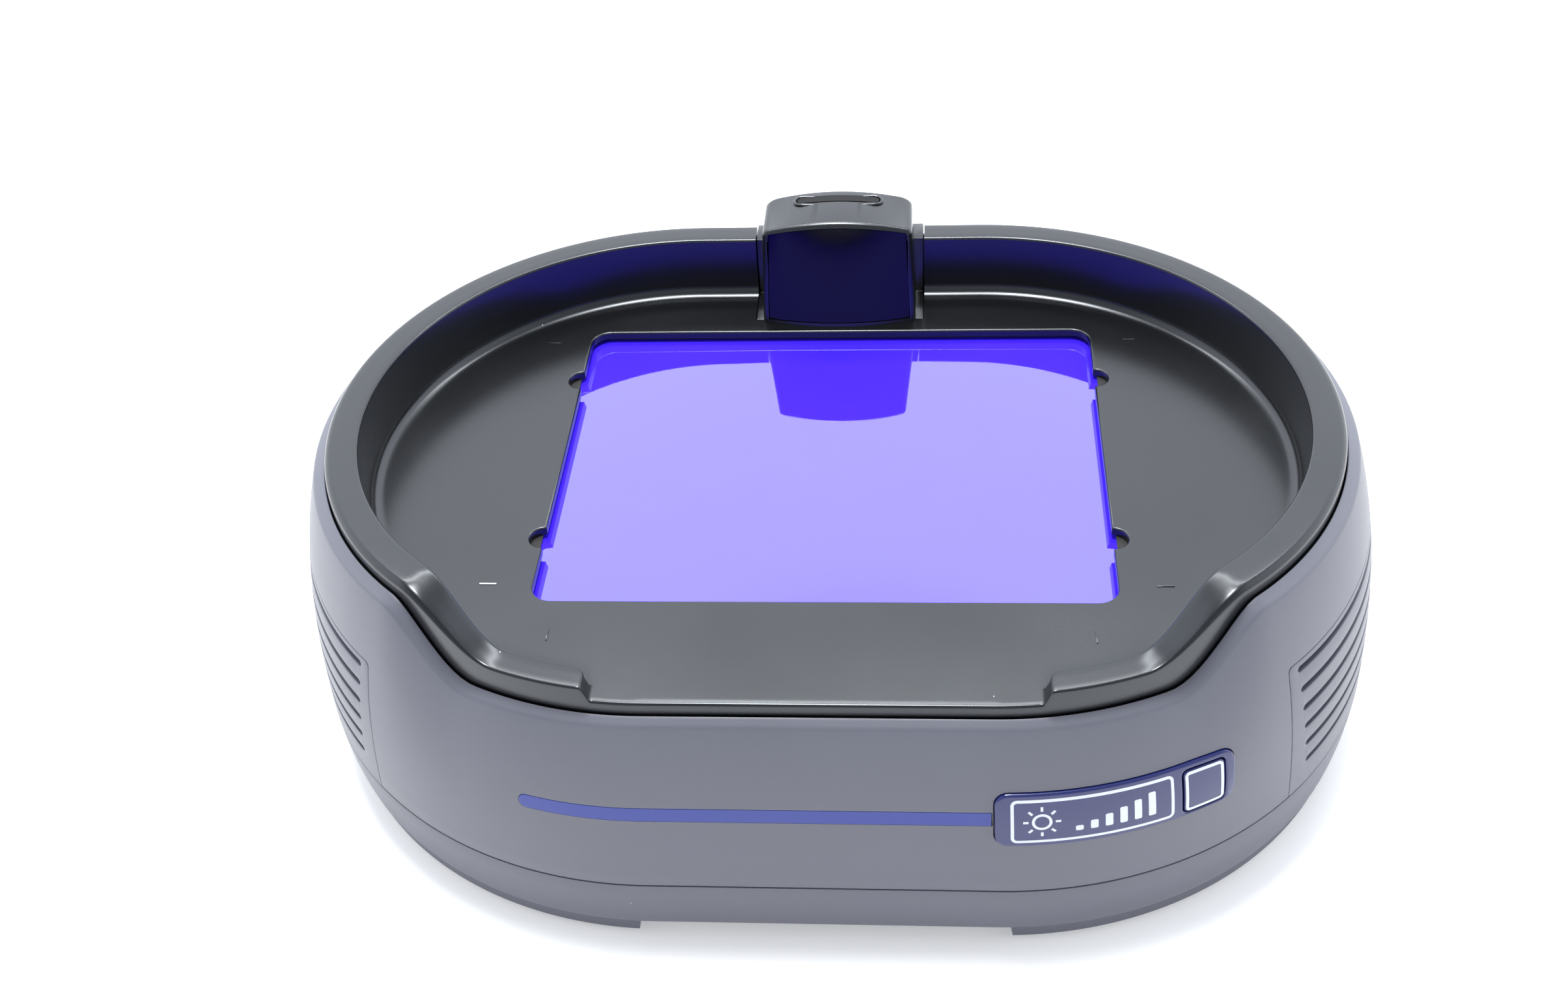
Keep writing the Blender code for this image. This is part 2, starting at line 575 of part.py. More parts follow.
def make_leads():
    lead("led_lead", [(-87.8, 10, 17), (-83, 9, 20), (-80, 4, 32), (-80, 0.5, 44), (-77.5, 0, 50.8),
                      (-70, 0, 50.8), (-63.5, 0, 50.8)], (0.5, 0.02, 0.02))
    lead("fan_lead", [(-87.8, -12, 17), (-80, -13, 14), (-60, -20, 12.5), (0, -26, 12), (60, -24, 12),
                      (92, -20, 14), (102, -22, 24), (106, -25, 27), (110, -25, 27)], (0.02, 0.02, 0.02))
    lead("button_lead", [(-108, -29.4, 17), (-107, -40, 19), (-90, -62, 24), (-50, -80, 32),
                         (0, -84, 40), (50, -78, 46), (76, -66, 50), (84.6, -73.5, 50),
                         (87.6, -78.9, 50)], (0.3, 0.3, 0.32))
    lead("inlet_lead", [(-108, 29.4, 17), (-107, 40, 19), (-92, 62, 26), (-70, 74, 36),
                        (INLET_X, 81, INLET_Z), (INLET_X, 86.4, INLET_Z)], (0.02, 0.02, 0.02))
    lead("switch_lead", [(-99, 15, 17.7), (-99, 15, 21), (-96, 30, 26), (-84, 60, 30), (-40, 78, 34),
                         (0, 80, 40), (14, 80, 54), (15, 80, 70), (15, 80, 80), (14, 80, 84.2),
                         (10.5, 80.8, 85.6), (6.5, 81, 85.4)], (0.3, 0.3, 0.32))


# --- tower ------------------------------------------------------------------------------------------
def arch_over(name, drop, y0, y1):
    """Everything above the tower's crowned roof line, lowered by drop."""
    sag = TOWER_CROWN / TOWER_X ** 2
    line = [(x, TOWER_SIDE_TOP - drop + TOWER_CROWN - sag * x * x) for x in range(-24, 25, 3)]
    return plate(name, line + [(24, 130), (-24, 130)], y0, y1, axis="Y")


def tower_ring(z, inset=0.0, behind=0.0, back=TOWER_BACK, corner=3.0):
    """Convex front that leans back as it rises, sides that lean in, and rounded back corners."""
    rise = z - DECK
    half = TOWER_X - inset - TOWER_TAPER * rise
    bulge = TOWER_BULGE - TOWER_FLATTEN * rise
    edge = TOWER_FRONT + behind + TOWER_LEAN * rise
    back -= TOWER_TAPER * rise
    front = [(half * i / 8, edge - bulge * (1 - (i / 8) ** 2), z) for i in range(-8, 9)]
    turns = [math.radians(90 * i / 4) for i in range(5)]
    right = [(half - corner + corner * math.cos(t), back - corner + corner * math.sin(t), z) for t in turns]
    return front + right + [(-x, y, z) for x, y, z in reversed(right)]


def lens_ring(z, inset, near, far):
    """A slab that follows the tower's leaning front, for the recess and the lens in it."""
    edge = TOWER_FRONT + TOWER_LEAN * (z - DECK)
    half = TOWER_X - inset - TOWER_TAPER * (z - DECK)
    bulge = (TOWER_BULGE - TOWER_FLATTEN * (z - DECK)) if near > 0 else 0.0
    front = [(half * i / 8, edge + near - bulge * (1 - (i / 8) ** 2), z) for i in range(-8, 9)]
    return front + [(half, edge + far, z), (-half, edge + far, z)]


def make_tower():
    tower = skin("tower_shell", [tower_ring(79.2), tower_ring(120)], black_plastic())
    cut(tower, arch_over("tower_roof", 0, 40, 110))
    cut(tower, blocks("tower_toe", [(-30, 30, 50, COLLAR_FRONT, 70, DECK + 0.3)]))
    collar = blocks("collar", [(-COLLAR_X, COLLAR_X, COLLAR_FRONT, COLLAR_BACK, DECK - 1.25, DECK)])
    join(collar, blocks("collar_wall", [(-COLLAR_X, COLLAR_X, 81.6, COLLAR_BACK, DECK - 1, RIM_TOP - 0.1)]))
    join(tower, collar)
    cut(tower, blocks("tower_cavity", [(-20.8, 20.8, 60, 85.2, 82, SHELF_BOTTOM)]),
        blocks("tower_cavity_high", [(-20.8, 20.8, 60, 85.2, SHELF_TOP, 106.8)]))
    recess = skin("window_recess", [lens_ring(z, 1.6, -20.0, 2.7) for z in (DECK + 1.3, 125)])
    cut(recess, arch_over("recess_roof", 1.5, 40, 110))
    cut(tower, recess)
    cut(tower, plate("plunger_slot", oval_outline(12.6, 1.9), 100, 125))
    cut(tower, rods("stem_hole", [((0, PLUNGER_Y, 90), (0, PLUNGER_Y, 97))], 2.4))
    cut(tower, rods("lead_hole_tower", [((15, 80, 70), (15, 80, 84))], 3.0))
    window = skin("tower_window", [lens_ring(z, 1.95, 0.1, 2.35) for z in (DECK + 1.65, 125)], navy_gloss())
    cut(window, arch_over("window_roof", 1.85, 40, 110))


def oval_outline(half_x, half_y):
    steps = 9
    turns = [math.radians(-90 + 180 * i / steps) for i in range(steps + 1)]
    right = [(half_x - half_y + half_y * math.cos(t), PLUNGER_Y + half_y * math.sin(t)) for t in turns]
    return right + [(-x, 2 * PLUNGER_Y - y) for x, y in right]


def make_interlock():
    plunger = plate("interlock_plunger", oval_outline(12.25, 1.55), 103, 113.2, black_plastic())
    join(plunger, plate("plunger_flange", oval_outline(14.0, 3.0), 101.5, 104))
    join(plunger, rods("plunger_stem", [((0, PLUNGER_Y, 91.4), (0, PLUNGER_Y, 102))], 1.9))
    turns, length, per_turn, coil_r = 4, 4.0, 9, 2.7
    coil = bpy.data.curves.new("plunger_spring", "CURVE")
    coil.dimensions = "3D"
    coil.bevel_depth = 0.35 * MM
    coil.bevel_resolution = 1
    coil.use_fill_caps = True
    spline = coil.splines.new("POLY")
    spline.points.add(turns * per_turn)
    for i, point in enumerate(spline.points):
        t = 2 * math.pi * i / per_turn
        place = Vector((coil_r * math.cos(t), PLUNGER_Y + coil_r * math.sin(t),
                        SHELF_TOP + 0.7 + length * i / (turns * per_turn))) * MM
        point.co = (*place, 1.0)
    PARTS.objects.link(bpy.data.objects.new("plunger_spring", coil))
    coil.materials.append(steel())
    switch = blocks("interlock_switch", [(-6, 6, PLUNGER_Y - 3.5, PLUNGER_Y + 3.2, 82.4, 87.8)],
                    black_plastic())
    join(switch, blocks("switch_tip", [(-1.5, 1.5, PLUNGER_Y - 1.2, PLUNGER_Y + 1.2, 87, 89.0)]))


# --- label panel and key ----------------------------------------------------------------------------
KEY_MIDDLE_U = sum(KEY_U) / 2
KEY_MIDDLE_Z = sum(KEY_Z) / 2


def key_point(out, up=0.0):
    return body_surface(KEY_MIDDLE_U, KEY_MIDDLE_Z, out)[:2] + (KEY_MIDDLE_Z + up,)


def make_label_and_key():
    label = patch("label_bezel", *LABEL_U, *LABEL_Z, -1.2, 0.7, navy_gloss(), steps=14)
    cut(label, patch("key_opening", KEY_U[0] - GAP, KEY_U[1] + GAP, KEY_Z[0] - GAP, KEY_Z[1] + GAP,
                     -4, 4, steps=6))
    key = patch("power_button", *KEY_U, *KEY_Z, -0.6, 0.65, navy_gloss(), steps=6)
    join(key, rods("key_stem", [(key_point(-5.4), key_point(0.2))], 2.4))
    join(key, rods("key_clip", [(key_point(-5.2), key_point(-4.0))], 4.0))
    patch("front_stripe", *STRIPE_U, *STRIPE_Z, -0.55, 0.05,
          material("blue_stripe", (0.06, 0.09, 0.5), 0.4), steps=14, rows=1)
    turn = math.atan2(key_point(0)[1] - key_point(-10)[1], key_point(0)[0] - key_point(-10)[0])
    board = blocks("button_board", [(-1.6, 0, -10, 10, -8, 8)], board_green())
    join(board, blocks("key_switch", [(-0.4, 3.4, -3, 3, -3, 3)]))
    join(board, blocks("key_switch_tip", [(3.2, 4.6, -1.5, 1.5, -1.5, 1.5)]))
    for piece in (board, bpy.data.objects["key_switch"], bpy.data.objects["key_switch_tip"]):
        piece.location = Vector(key_point(-11.3)) * MM
        piece.rotation_euler = (0, 0, turn)


make_base_pan()
make_feet()
make_upper_shell()
make_vent_panel("vent_panel_right", 1)
make_vent_panel("vent_panel_left", -1)
make_shell_screws()
make_tray()
make_glass_stack()
make_light_source()
make_fan()
make_driver_board()
make_dc_inlet()
make_leads()
make_tower()
make_interlock()
make_label_and_key()
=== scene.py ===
# %% [markdown]
# # A blue-light gel viewer base, dressed for a close look
# The real object is a bench light box: an oval grey housing, a black tray on top, a blue filter window
# in the tray's deck, and a small tower behind it. Its sizes, parts and joints are already fixed in the
# frame. This lesson builds the surfaces that an eye studies: rounded edges, panels that wrap round the
# body, moulded plastics and coated glass. All lengths are in millimetres until a mesh is made.

# %% Load the frame
import math

import bmesh
import bpy
from mathutils import Matrix, Vector


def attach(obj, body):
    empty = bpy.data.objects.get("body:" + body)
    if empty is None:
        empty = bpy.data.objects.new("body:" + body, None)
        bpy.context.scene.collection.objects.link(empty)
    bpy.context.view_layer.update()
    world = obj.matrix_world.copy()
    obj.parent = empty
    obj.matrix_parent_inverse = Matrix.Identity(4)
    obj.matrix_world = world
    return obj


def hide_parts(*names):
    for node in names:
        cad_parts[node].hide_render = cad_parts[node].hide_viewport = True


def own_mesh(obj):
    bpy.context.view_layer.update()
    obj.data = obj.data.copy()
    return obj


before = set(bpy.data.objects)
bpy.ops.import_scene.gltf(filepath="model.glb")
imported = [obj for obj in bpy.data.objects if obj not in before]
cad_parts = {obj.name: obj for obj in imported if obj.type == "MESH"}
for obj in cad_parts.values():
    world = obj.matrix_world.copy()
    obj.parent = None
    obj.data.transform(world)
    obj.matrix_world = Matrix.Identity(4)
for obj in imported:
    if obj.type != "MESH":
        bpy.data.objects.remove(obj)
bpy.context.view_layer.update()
MM = 0.001
scene = bpy.context.scene

# %% [markdown]
# ## Camera and studio
# A product shot of this kind is lit by a white tent, with lamps overhead. A plain image backdrop
# could give the same reflections, but it would be a picture. A bright world, a pale floor and two
# lamps do it with nothing to load. The tent is dimmer on the camera's side and towards its roof. The
# overhead lamp draws the thin bright lines along rounded edges, and a ceiling strip behind it gives the
# two bright patches on each front arm.

# %% Camera
CAMERA_PLACE = Vector((26.8, -400.3, 392.7))
PITCH, YAW, ROLL = math.radians(39.30), math.radians(-5.784), math.radians(-3.678)
LENS = 42.36

ahead = Vector((math.sin(YAW) * math.cos(PITCH), math.cos(YAW) * math.cos(PITCH), -math.sin(PITCH)))
level = Vector((math.cos(YAW), -math.sin(YAW), 0.0))
upright = level.cross(ahead)
across = level * math.cos(ROLL) + upright * math.sin(ROLL)
above = upright * math.cos(ROLL) - level * math.sin(ROLL)
camera_data = bpy.data.cameras.new("camera")
camera_data.lens = LENS
camera_data.sensor_width = 36.0
camera = bpy.data.objects.new("camera", camera_data)
turn = Matrix((across, above, -ahead)).transposed().to_4x4()
camera.matrix_world = Matrix.Translation(CAMERA_PLACE * MM) @ turn
scene.collection.objects.link(camera)
scene.camera = camera
print("camera is", round(CAMERA_PLACE.length), "mm from the bench origin")

# %% White tent
TENT_LIGHT, NEAR_SIDE_LIGHT, TOP_SHADE = 2.35, 0.8, 0.45
TENT_COLOUR = (0.93, 0.97, 1.04, 1.0)

scene.view_settings.view_transform = "Standard"
world = bpy.data.worlds.new("white_tent")
world.use_nodes = True
scene.world = world
tent = world.node_tree
direction = tent.nodes.new("ShaderNodeTexCoord")
apart = tent.nodes.new("ShaderNodeSeparateXYZ")
tent.links.new(direction.outputs["Generated"], apart.inputs[0])


def light_along(axis, start, end, first, last):
    """Light that changes smoothly from first to last as a direction's part on axis goes from start to end."""
    made = tent.nodes.new("ShaderNodeMapRange")
    made.interpolation_type = "SMOOTHSTEP"
    for socket, number in (("From Min", start), ("From Max", end), ("To Min", first), ("To Max", last)):
        made.inputs[socket].default_value = number
    tent.links.new(apart.outputs[axis], made.inputs["Value"])
    return made.outputs["Result"]


both = tent.nodes.new("ShaderNodeMath")
both.operation = "MULTIPLY"
tent.links.new(light_along("Y", -0.7, 0.35, NEAR_SIDE_LIGHT, TENT_LIGHT), both.inputs[0])
tent.links.new(light_along("Z", 0.66, 0.78, 1.0, TOP_SHADE), both.inputs[1])
tent.links.new(both.outputs[0], tent.nodes["Background"].inputs["Strength"])
tent.nodes["Background"].inputs["Color"].default_value = TENT_COLOUR
print("tent light goes from", NEAR_SIDE_LIGHT, "to", TENT_LIGHT)

# %% Lamps and floor
OVERHEAD_PLACE, OVERHEAD_SIZE, OVERHEAD_WATTS = Vector((-60, 60, 1100)), 300.0, 14.0
STRIP_PLACE, STRIP_LONG, STRIP_WIDE, STRIP_WATTS = Vector((0, 480, 910)), 1000.0, 100.0, 6.0
FLOOR_HALF, PAPER_GLOW = 3.0, 0.3
PAPER_WHITE, GLOW_WHITE = (0.86, 0.86, 0.86, 1.0), (1.0, 1.0, 1.0, 1.0)


def add_lamp(name, place, watts, long, wide):
    """A flat rectangular lamp, long in x, that faces the object."""
    data = bpy.data.lights.new(name, "AREA")
    data.shape = "RECTANGLE"
    data.size = long * MM
    data.size_y = wide * MM
    data.energy = watts
    lamp = bpy.data.objects.new(name, data)
    lamp.location = place * MM
    lamp.rotation_euler = (-place).to_track_quat("-Z", "Y").to_euler()
    scene.collection.objects.link(lamp)


add_lamp("overhead_lamp", OVERHEAD_PLACE, OVERHEAD_WATTS, OVERHEAD_SIZE, OVERHEAD_SIZE)
add_lamp("ceiling_strip", STRIP_PLACE, STRIP_WATTS, STRIP_LONG, STRIP_WIDE)

floor_mesh = bpy.data.meshes.new("floor")
floor_mesh.from_pydata([(-FLOOR_HALF, -FLOOR_HALF, 0), (FLOOR_HALF, -FLOOR_HALF, 0),
                        (FLOOR_HALF, FLOOR_HALF, 0), (-FLOOR_HALF, FLOOR_HALF, 0)], [], [(0, 1, 2, 3)])
floor = bpy.data.objects.new("floor", floor_mesh)
scene.collection.objects.link(floor)
paper = bpy.data.materials.new("white_paper")
paper.use_nodes = True
paper_look = paper.node_tree.nodes["Principled BSDF"].inputs
paper_look["Base Color"].default_value = PAPER_WHITE
paper_look["Roughness"].default_value = 0.9
paper_look["Emission Color"].default_value = GLOW_WHITE
paper_look["Emission Strength"].default_value = PAPER_GLOW
floor_mesh.materials.append(paper)
print("lamps of", OVERHEAD_WATTS, "and", STRIP_WATTS, "W over a floor", 2 * FLOOR_HALF, "m wide")

# %% [markdown]
# ## Finishes from a few small blocks
# Every moulded part on the real base shows the same things in different amounts: a fine grain from the
# mould, slow changes in gloss, and edges a little paler, partly from rubbed wear and partly as a painted
# highlight where a rounded edge would catch the light. Painting each by hand would take an image. Noise
# read in object space gives them at true size instead, so the helpers take sizes in mm.
# A value that is the same all over goes straight on the shader's own socket.

# %% Helpers for shader nodes
def start_finish(name, colour, roughness, metallic=0.0, extra=()):
    finish = bpy.data.materials.new(name)
    finish.use_nodes = True
    tree = finish.node_tree
    shader = tree.nodes["Principled BSDF"]
    shader.inputs["Base Color"].default_value = (*colour, 1.0)
    shader.inputs["Roughness"].default_value = roughness
    shader.inputs["Metallic"].default_value = metallic
    for socket, value in dict(extra).items():
        shader.inputs[socket].default_value = value
    return finish, tree, shader


def object_space(tree, stretch=(1.0, 1.0, 1.0)):
    place = tree.nodes.new("ShaderNodeTexCoord")
    scale = tree.nodes.new("ShaderNodeMapping")
    scale.inputs["Scale"].default_value = stretch
    tree.links.new(place.outputs["Object"], scale.inputs["Vector"])
    return scale.outputs["Vector"]


def noise(tree, size, detail=2.0, stretch=(1.0, 1.0, 1.0)):
    """Noise whose blobs are about size mm across."""
    made = tree.nodes.new("ShaderNodeTexNoise")
    made.inputs["Scale"].default_value = 1 / (size * MM)
    made.inputs["Detail"].default_value = detail
    tree.links.new(object_space(tree, stretch), made.inputs["Vector"])
    return made.outputs["Fac"]


def remap(tree, value, from_low, from_high, to_low, to_high):
    made = tree.nodes.new("ShaderNodeMapRange")
    limits = {"From Min": from_low, "From Max": from_high, "To Min": to_low, "To Max": to_high}
    for socket, number in limits.items():
        made.inputs[socket].default_value = number
    tree.links.new(value, made.inputs["Value"])
    return made.outputs["Result"]


def blend_colours(tree, share, first, second):
    made = tree.nodes.new("ShaderNodeMix")
    made.data_type = "RGBA"
    tree.links.new(share, made.inputs["Factor"])
    for socket, colour in (("A", first), ("B", second)):
        slot = [s for s in made.inputs if s.name == socket and s.type == "RGBA"][0]
        if isinstance(colour, tuple):
            slot.default_value = (*colour, 1.0)
        else:
            tree.links.new(colour, slot)
    return [s for s in made.outputs if s.type == "RGBA"][0]


def arithmetic(tree, operation, first, second):
    made = tree.nodes.new("ShaderNodeMath")
    made.operation = operation
    for slot, value in zip(made.inputs, (first, second)):
        if isinstance(value, (int, float)):
            slot.default_value = value
        else:
            tree.links.new(value, slot)
    return made.outputs[0]


def worn_and_highlit_edges(tree, width):
    """1 on sharp edges, fading to 0 within width mm."""
    rounded = tree.nodes.new("ShaderNodeBevel")
    rounded.samples = 4
    rounded.inputs["Radius"].default_value = width * MM
    surface = tree.nodes.new("ShaderNodeNewGeometry")
    facing = tree.nodes.new("ShaderNodeVectorMath")
    facing.operation = "DOT_PRODUCT"
    tree.links.new(rounded.outputs[0], facing.inputs[0])
    tree.links.new(surface.outputs["Normal"], facing.inputs[1])
    return remap(tree, facing.outputs["Value"], 0.995, 0.86, 0.0, 1.0)


def add_bump(tree, shader, height, depth):
    made = tree.nodes.new("ShaderNodeBump")
    made.inputs["Distance"].default_value = depth * MM
    made.inputs["Strength"].default_value = 1.0
    tree.links.new(height, made.inputs["Height"])
    tree.links.new(made.outputs["Normal"], shader.inputs["Normal"])


def specks(tree, spacing, size, share):
    """Sparse round dots, such as dust: 1 inside a dot, 0 elsewhere."""
    cells = tree.nodes.new("ShaderNodeTexVoronoi")
    cells.inputs["Scale"].default_value = 1 / (spacing * MM)
    tree.links.new(object_space(tree), cells.inputs["Vector"])
    chosen = tree.nodes.new("ShaderNodeSeparateColor")
    tree.links.new(cells.outputs["Color"], chosen.inputs[0])
    picked = arithmetic(tree, "LESS_THAN", chosen.outputs[0], share)
    inside = arithmetic(tree, "LESS_THAN", cells.outputs["Distance"], size / spacing)
    return arithmetic(tree, "MULTIPLY", picked, inside)


print("shader helpers are ready")

# %% [markdown]
# ## Moulded plastics
# The housing is a cool grey ABS with a fine spark-eroded grain, the tray and tower are black with a
# finer one. One function makes both, because they differ only in numbers. Grain goes in the bump, and
# the same noise moves the roughness a little, which is what makes plastic look moulded and not painted.

# %% Moulded plastic
DUST_COLOUR, DUST_SPACING, DUST_SIZE = (0.55, 0.56, 0.58), 7.0, 0.16


def moulded(name, colour, roughness, grain=0.5, grain_depth=0.012, uneven=0.04, edge_wear_and_highlight=0.35, dust=0.0,
            extra=()):
    finish, tree, shader = start_finish(name, colour, roughness, extra=extra)
    fine = noise(tree, grain, 3.0)
    slow = noise(tree, 38.0, 4.0)
    darker = tuple(c * 0.93 for c in colour)
    paler = tuple(c * 0.6 + 0.4 * min(1.0, c * 1.9 + 0.02) for c in colour)
    base = blend_colours(tree, remap(tree, slow, 0.3, 0.7, 0.0, 1.0), darker, colour)
    # Sharp edges go paler in patches: partly rubbed wear, partly a painted highlight standing in for the light
    # a rounded edge would catch.
    patchy = remap(tree, noise(tree, 3.0), 0.35, 0.65, 0.2, edge_wear_and_highlight * 2)
    rubbed_and_highlit = arithmetic(tree, "MULTIPLY", worn_and_highlit_edges(tree, 0.5), patchy)
    base = blend_colours(tree, rubbed_and_highlit, base, paler)
    if dust:
        base = blend_colours(tree, specks(tree, DUST_SPACING, DUST_SIZE, dust), base, DUST_COLOUR)
    tree.links.new(base, shader.inputs["Base Color"])
    broad = arithmetic(tree, "MULTIPLY", slow, 0.7)
    mixed = arithmetic(tree, "ADD", broad, arithmetic(tree, "MULTIPLY", fine, 0.3))
    gloss = remap(tree, mixed, 0.3, 0.7, roughness - uneven, roughness + uneven)
    tree.links.new(gloss, shader.inputs["Roughness"])
    add_bump(tree, shader, fine, grain_depth)
    return finish


# The tray's specular tint is a painted cool tint on its reflections. It stands in for the tent's bluish light
# and is not a colour of the plastic.
SHELL_GREY, TRAY_BLACK, TRAY_PAINTED_COOL_TINT = (0.103, 0.108, 0.136), (0.0034, 0.0035, 0.0042), (0.88, 0.94, 1.0, 1.0)
GREY_SHELL = moulded("grey_moulded_shell", SHELL_GREY, 0.44, grain=0.7, grain_depth=0.025, dust=0.03)
BLACK_TRAY = moulded("black_satin_tray", TRAY_BLACK, 0.25, grain=0.45, grain_depth=0.006, uneven=0.03,
                     edge_wear_and_highlight=0.12, dust=0.04, extra={"Specular IOR Level": 0.62, "Specular Tint": TRAY_PAINTED_COOL_TINT})
BLACK_PAD = moulded("black_soft_pad", (0.004, 0.004, 0.005), 0.6, grain=0.4, edge_wear_and_highlight=0.1,
                    extra={"Specular IOR Level": 0.2})
BLACK_FRAME = moulded("black_inner_frame", (0.02, 0.02, 0.021), 0.5, grain=0.6)
WHITE_REFLECTOR = moulded("white_reflector", (0.8, 0.8, 0.8), 0.4, grain=0.8)
RUBBER = moulded("black_rubber", (0.012, 0.012, 0.012), 0.78, grain=0.35, grain_depth=0.03, edge_wear_and_highlight=0.5,
                 dust=0.3)
print("moulded finishes:", GREY_SHELL.name, BLACK_TRAY.name, BLACK_FRAME.name)

# %% [markdown]
# ## Blue filter, navy panels and stripe
# The filter is a coated plate that passes only blue, with a white diffuser under it. A true sheet of
# coloured glass would need light traced down to the diffuser and back. From above that always ends as
# the same deep blue, so the blue is the base colour here and the coating is a high index of refraction,
# which lays the mirror image of the tower and rim over it.

# %% Glossy finishes
def glossy(name, colour, roughness, smear=0.02, extra=()):
    """A smooth surface with faint wipe marks in its gloss."""
    finish, tree, shader = start_finish(name, colour, roughness, extra=extra)
    cloud = noise(tree, 16.0, 3.0)
    wiped = noise(tree, 2.5, 2.0, stretch=(0.3, 1.6, 1.0))
    marks = arithmetic(tree, "MULTIPLY", cloud, wiped)
    gloss = remap(tree, marks, 0.12, 0.42, max(0.0, roughness - smear / 2), roughness + smear)
    tree.links.new(gloss, shader.inputs["Roughness"])
    darker = tuple(c * 0.94 for c in colour)
    base = blend_colours(tree, remap(tree, cloud, 0.3, 0.7, 0.0, 1.0), darker, colour)
    base = blend_colours(tree, specks(tree, 9.0, 0.14, 0.05), base, (0.7, 0.7, 0.75))
    tree.links.new(base, shader.inputs["Base Color"])
    add_bump(tree, shader, cloud, 0.004)
    return finish


BLUE_FILTER = glossy("blue_filter_plate", (0.045, 0.016, 0.92), 0.02, smear=0.015, extra={"IOR": 2.2})
NAVY_LENS = glossy("navy_tower_lens", (0.0012, 0.0011, 0.003), 0.12, extra={"Specular IOR Level": 0.3})
RESIN_COAT = {"Coat Weight": 0.25, "Coat Roughness": 0.06}
NAVY_LABEL = glossy("navy_label_resin", (0.006, 0.011, 0.095), 0.2, extra=RESIN_COAT)
# This white is real print on the label, and it also paints one deck register mark as a painted highlight.
WHITE_PRINT_AND_GLINT = moulded("white_print_and_painted_glint", (0.62, 0.66, 0.74), 0.35, grain=0.3, grain_depth=0.004, edge_wear_and_highlight=0.1)
BLUE_STRIPE = moulded("blue_stripe_film", (0.022, 0.04, 0.25), 0.45, grain=0.35, grain_depth=0.006,
                      edge_wear_and_highlight=0.2)
DIFFUSER = moulded("opal_diffuser", (0.8, 0.81, 0.85), 0.45, grain=0.6)
print("glossy finishes:", BLUE_FILTER.name, NAVY_LENS.name, NAVY_LABEL.name)

# %% [markdown]
# ## Metal, circuit boards and wires
# These sit inside or underneath, and show through the vents, the inlet and from below. Metal gets a
# brushed streak by stretching the noise along one axis. The boards get a faint copper pattern from a
# brick texture under green varnish.

# %% Metal, boards and wires
def brushed(name, colour, roughness, stretch):
    finish, tree, shader = start_finish(name, colour, roughness, metallic=1.0)
    streak = noise(tree, 0.5, 3.0, stretch=stretch)
    gloss = remap(tree, streak, 0.3, 0.7, roughness - 0.08, roughness + 0.1)
    tree.links.new(gloss, shader.inputs["Roughness"])
    paler = tuple(min(1.0, c * 1.15) for c in colour)
    tree.links.new(blend_colours(tree, streak, colour, paler), shader.inputs["Base Color"])
    add_bump(tree, shader, streak, 0.01)
    return finish


def circuit_board(name):
    finish, tree, shader = start_finish(name, (0.01, 0.11, 0.045), 0.35)
    tracks = tree.nodes.new("ShaderNodeTexBrick")
    tracks.inputs["Scale"].default_value = 60.0
    tracks.inputs["Mortar Size"].default_value = 0.03
    tracks.inputs["Color1"].default_value = (0.008, 0.09, 0.035, 1.0)
    tracks.inputs["Color2"].default_value = (0.012, 0.12, 0.05, 1.0)
    tracks.inputs["Mortar"].default_value = (0.04, 0.26, 0.1, 1.0)
    tree.links.new(object_space(tree), tracks.inputs["Vector"])
    tree.links.new(tracks.outputs["Color"], shader.inputs["Base Color"])
    tree.links.new(remap(tree, noise(tree, 4.0), 0.3, 0.7, 0.28, 0.42), shader.inputs["Roughness"])
    add_bump(tree, shader, tracks.outputs["Fac"], 0.03)
    return finish


STEEL = brushed("zinc_plated_steel", (0.62, 0.62, 0.6), 0.3, (1.0, 1.0, 0.1))
ALUMINIUM = brushed("extruded_aluminium", (0.78, 0.78, 0.8), 0.34, (0.06, 1.0, 1.0))
CIRCUIT_BOARD = circuit_board("green_circuit_board")
RED_WIRE = moulded("red_wire", (0.4, 0.01, 0.01), 0.45, grain=0.6)
BLACK_WIRE = moulded("black_wire", (0.015, 0.015, 0.015), 0.45, grain=0.6)
GREY_WIRE = moulded("grey_wire", (0.25, 0.25, 0.27), 0.45, grain=0.6)
print("inner finishes:", STEEL.name, ALUMINIUM.name, CIRCUIT_BOARD.name)

# %% [markdown]
# ## The body's own surface
# The housing's plan is a stadium: a straight front and back joined by round ends. Its side leans in
# towards the top, and its top edge dips in an S at the front. The same few functions give any point on
# it from u, the distance round from the middle of the front, and z. Everything that lies on the body,
# such as vents, label and stripe, can then be drawn flat and wrapped on.

# %% Body surface in u and z
TRAY_A, TRAY_YC, BODY_A, BODY_YC = 42.0, -3.0, 44.0, 0.0
SKIRT_R, SHELL_TOP_R, CHAMFER_R, SEAM_R = 93.3, 93.7, 97.0, 105.5
SEAM, LEDGE, DECK, RIM_TOP, ARM_TOP, SHELL_HIGH, SHELL_LOW = 24.3, 72.4, 80.0, 99.0, 84.2, 94.8, 76.7
CHAMFER_DROP, WALL = 1.6, 2.6
ARM_REAR, ARM_FRONT, ARM_INSET = 39.5, 22.5, 2.2
ROUND_END = math.pi * SEAM_R
HALF_ROUND = BODY_A + ROUND_END + BODY_A


def smooth_step(t):
    t = min(max(t, 0.0), 1.0)
    return t * t * (3 - 2 * t)


def shell_top(y):
    return SHELL_HIGH - (SHELL_HIGH - SHELL_LOW) * smooth_step((-73.5 - y) / 13.5)


def rim_fall(turn):
    """0 on the full rim and 1 on the low arms, turn radians round an end from the front."""
    return smooth_step((ARM_REAR - math.degrees(turn)) / (ARM_REAR - ARM_FRONT))


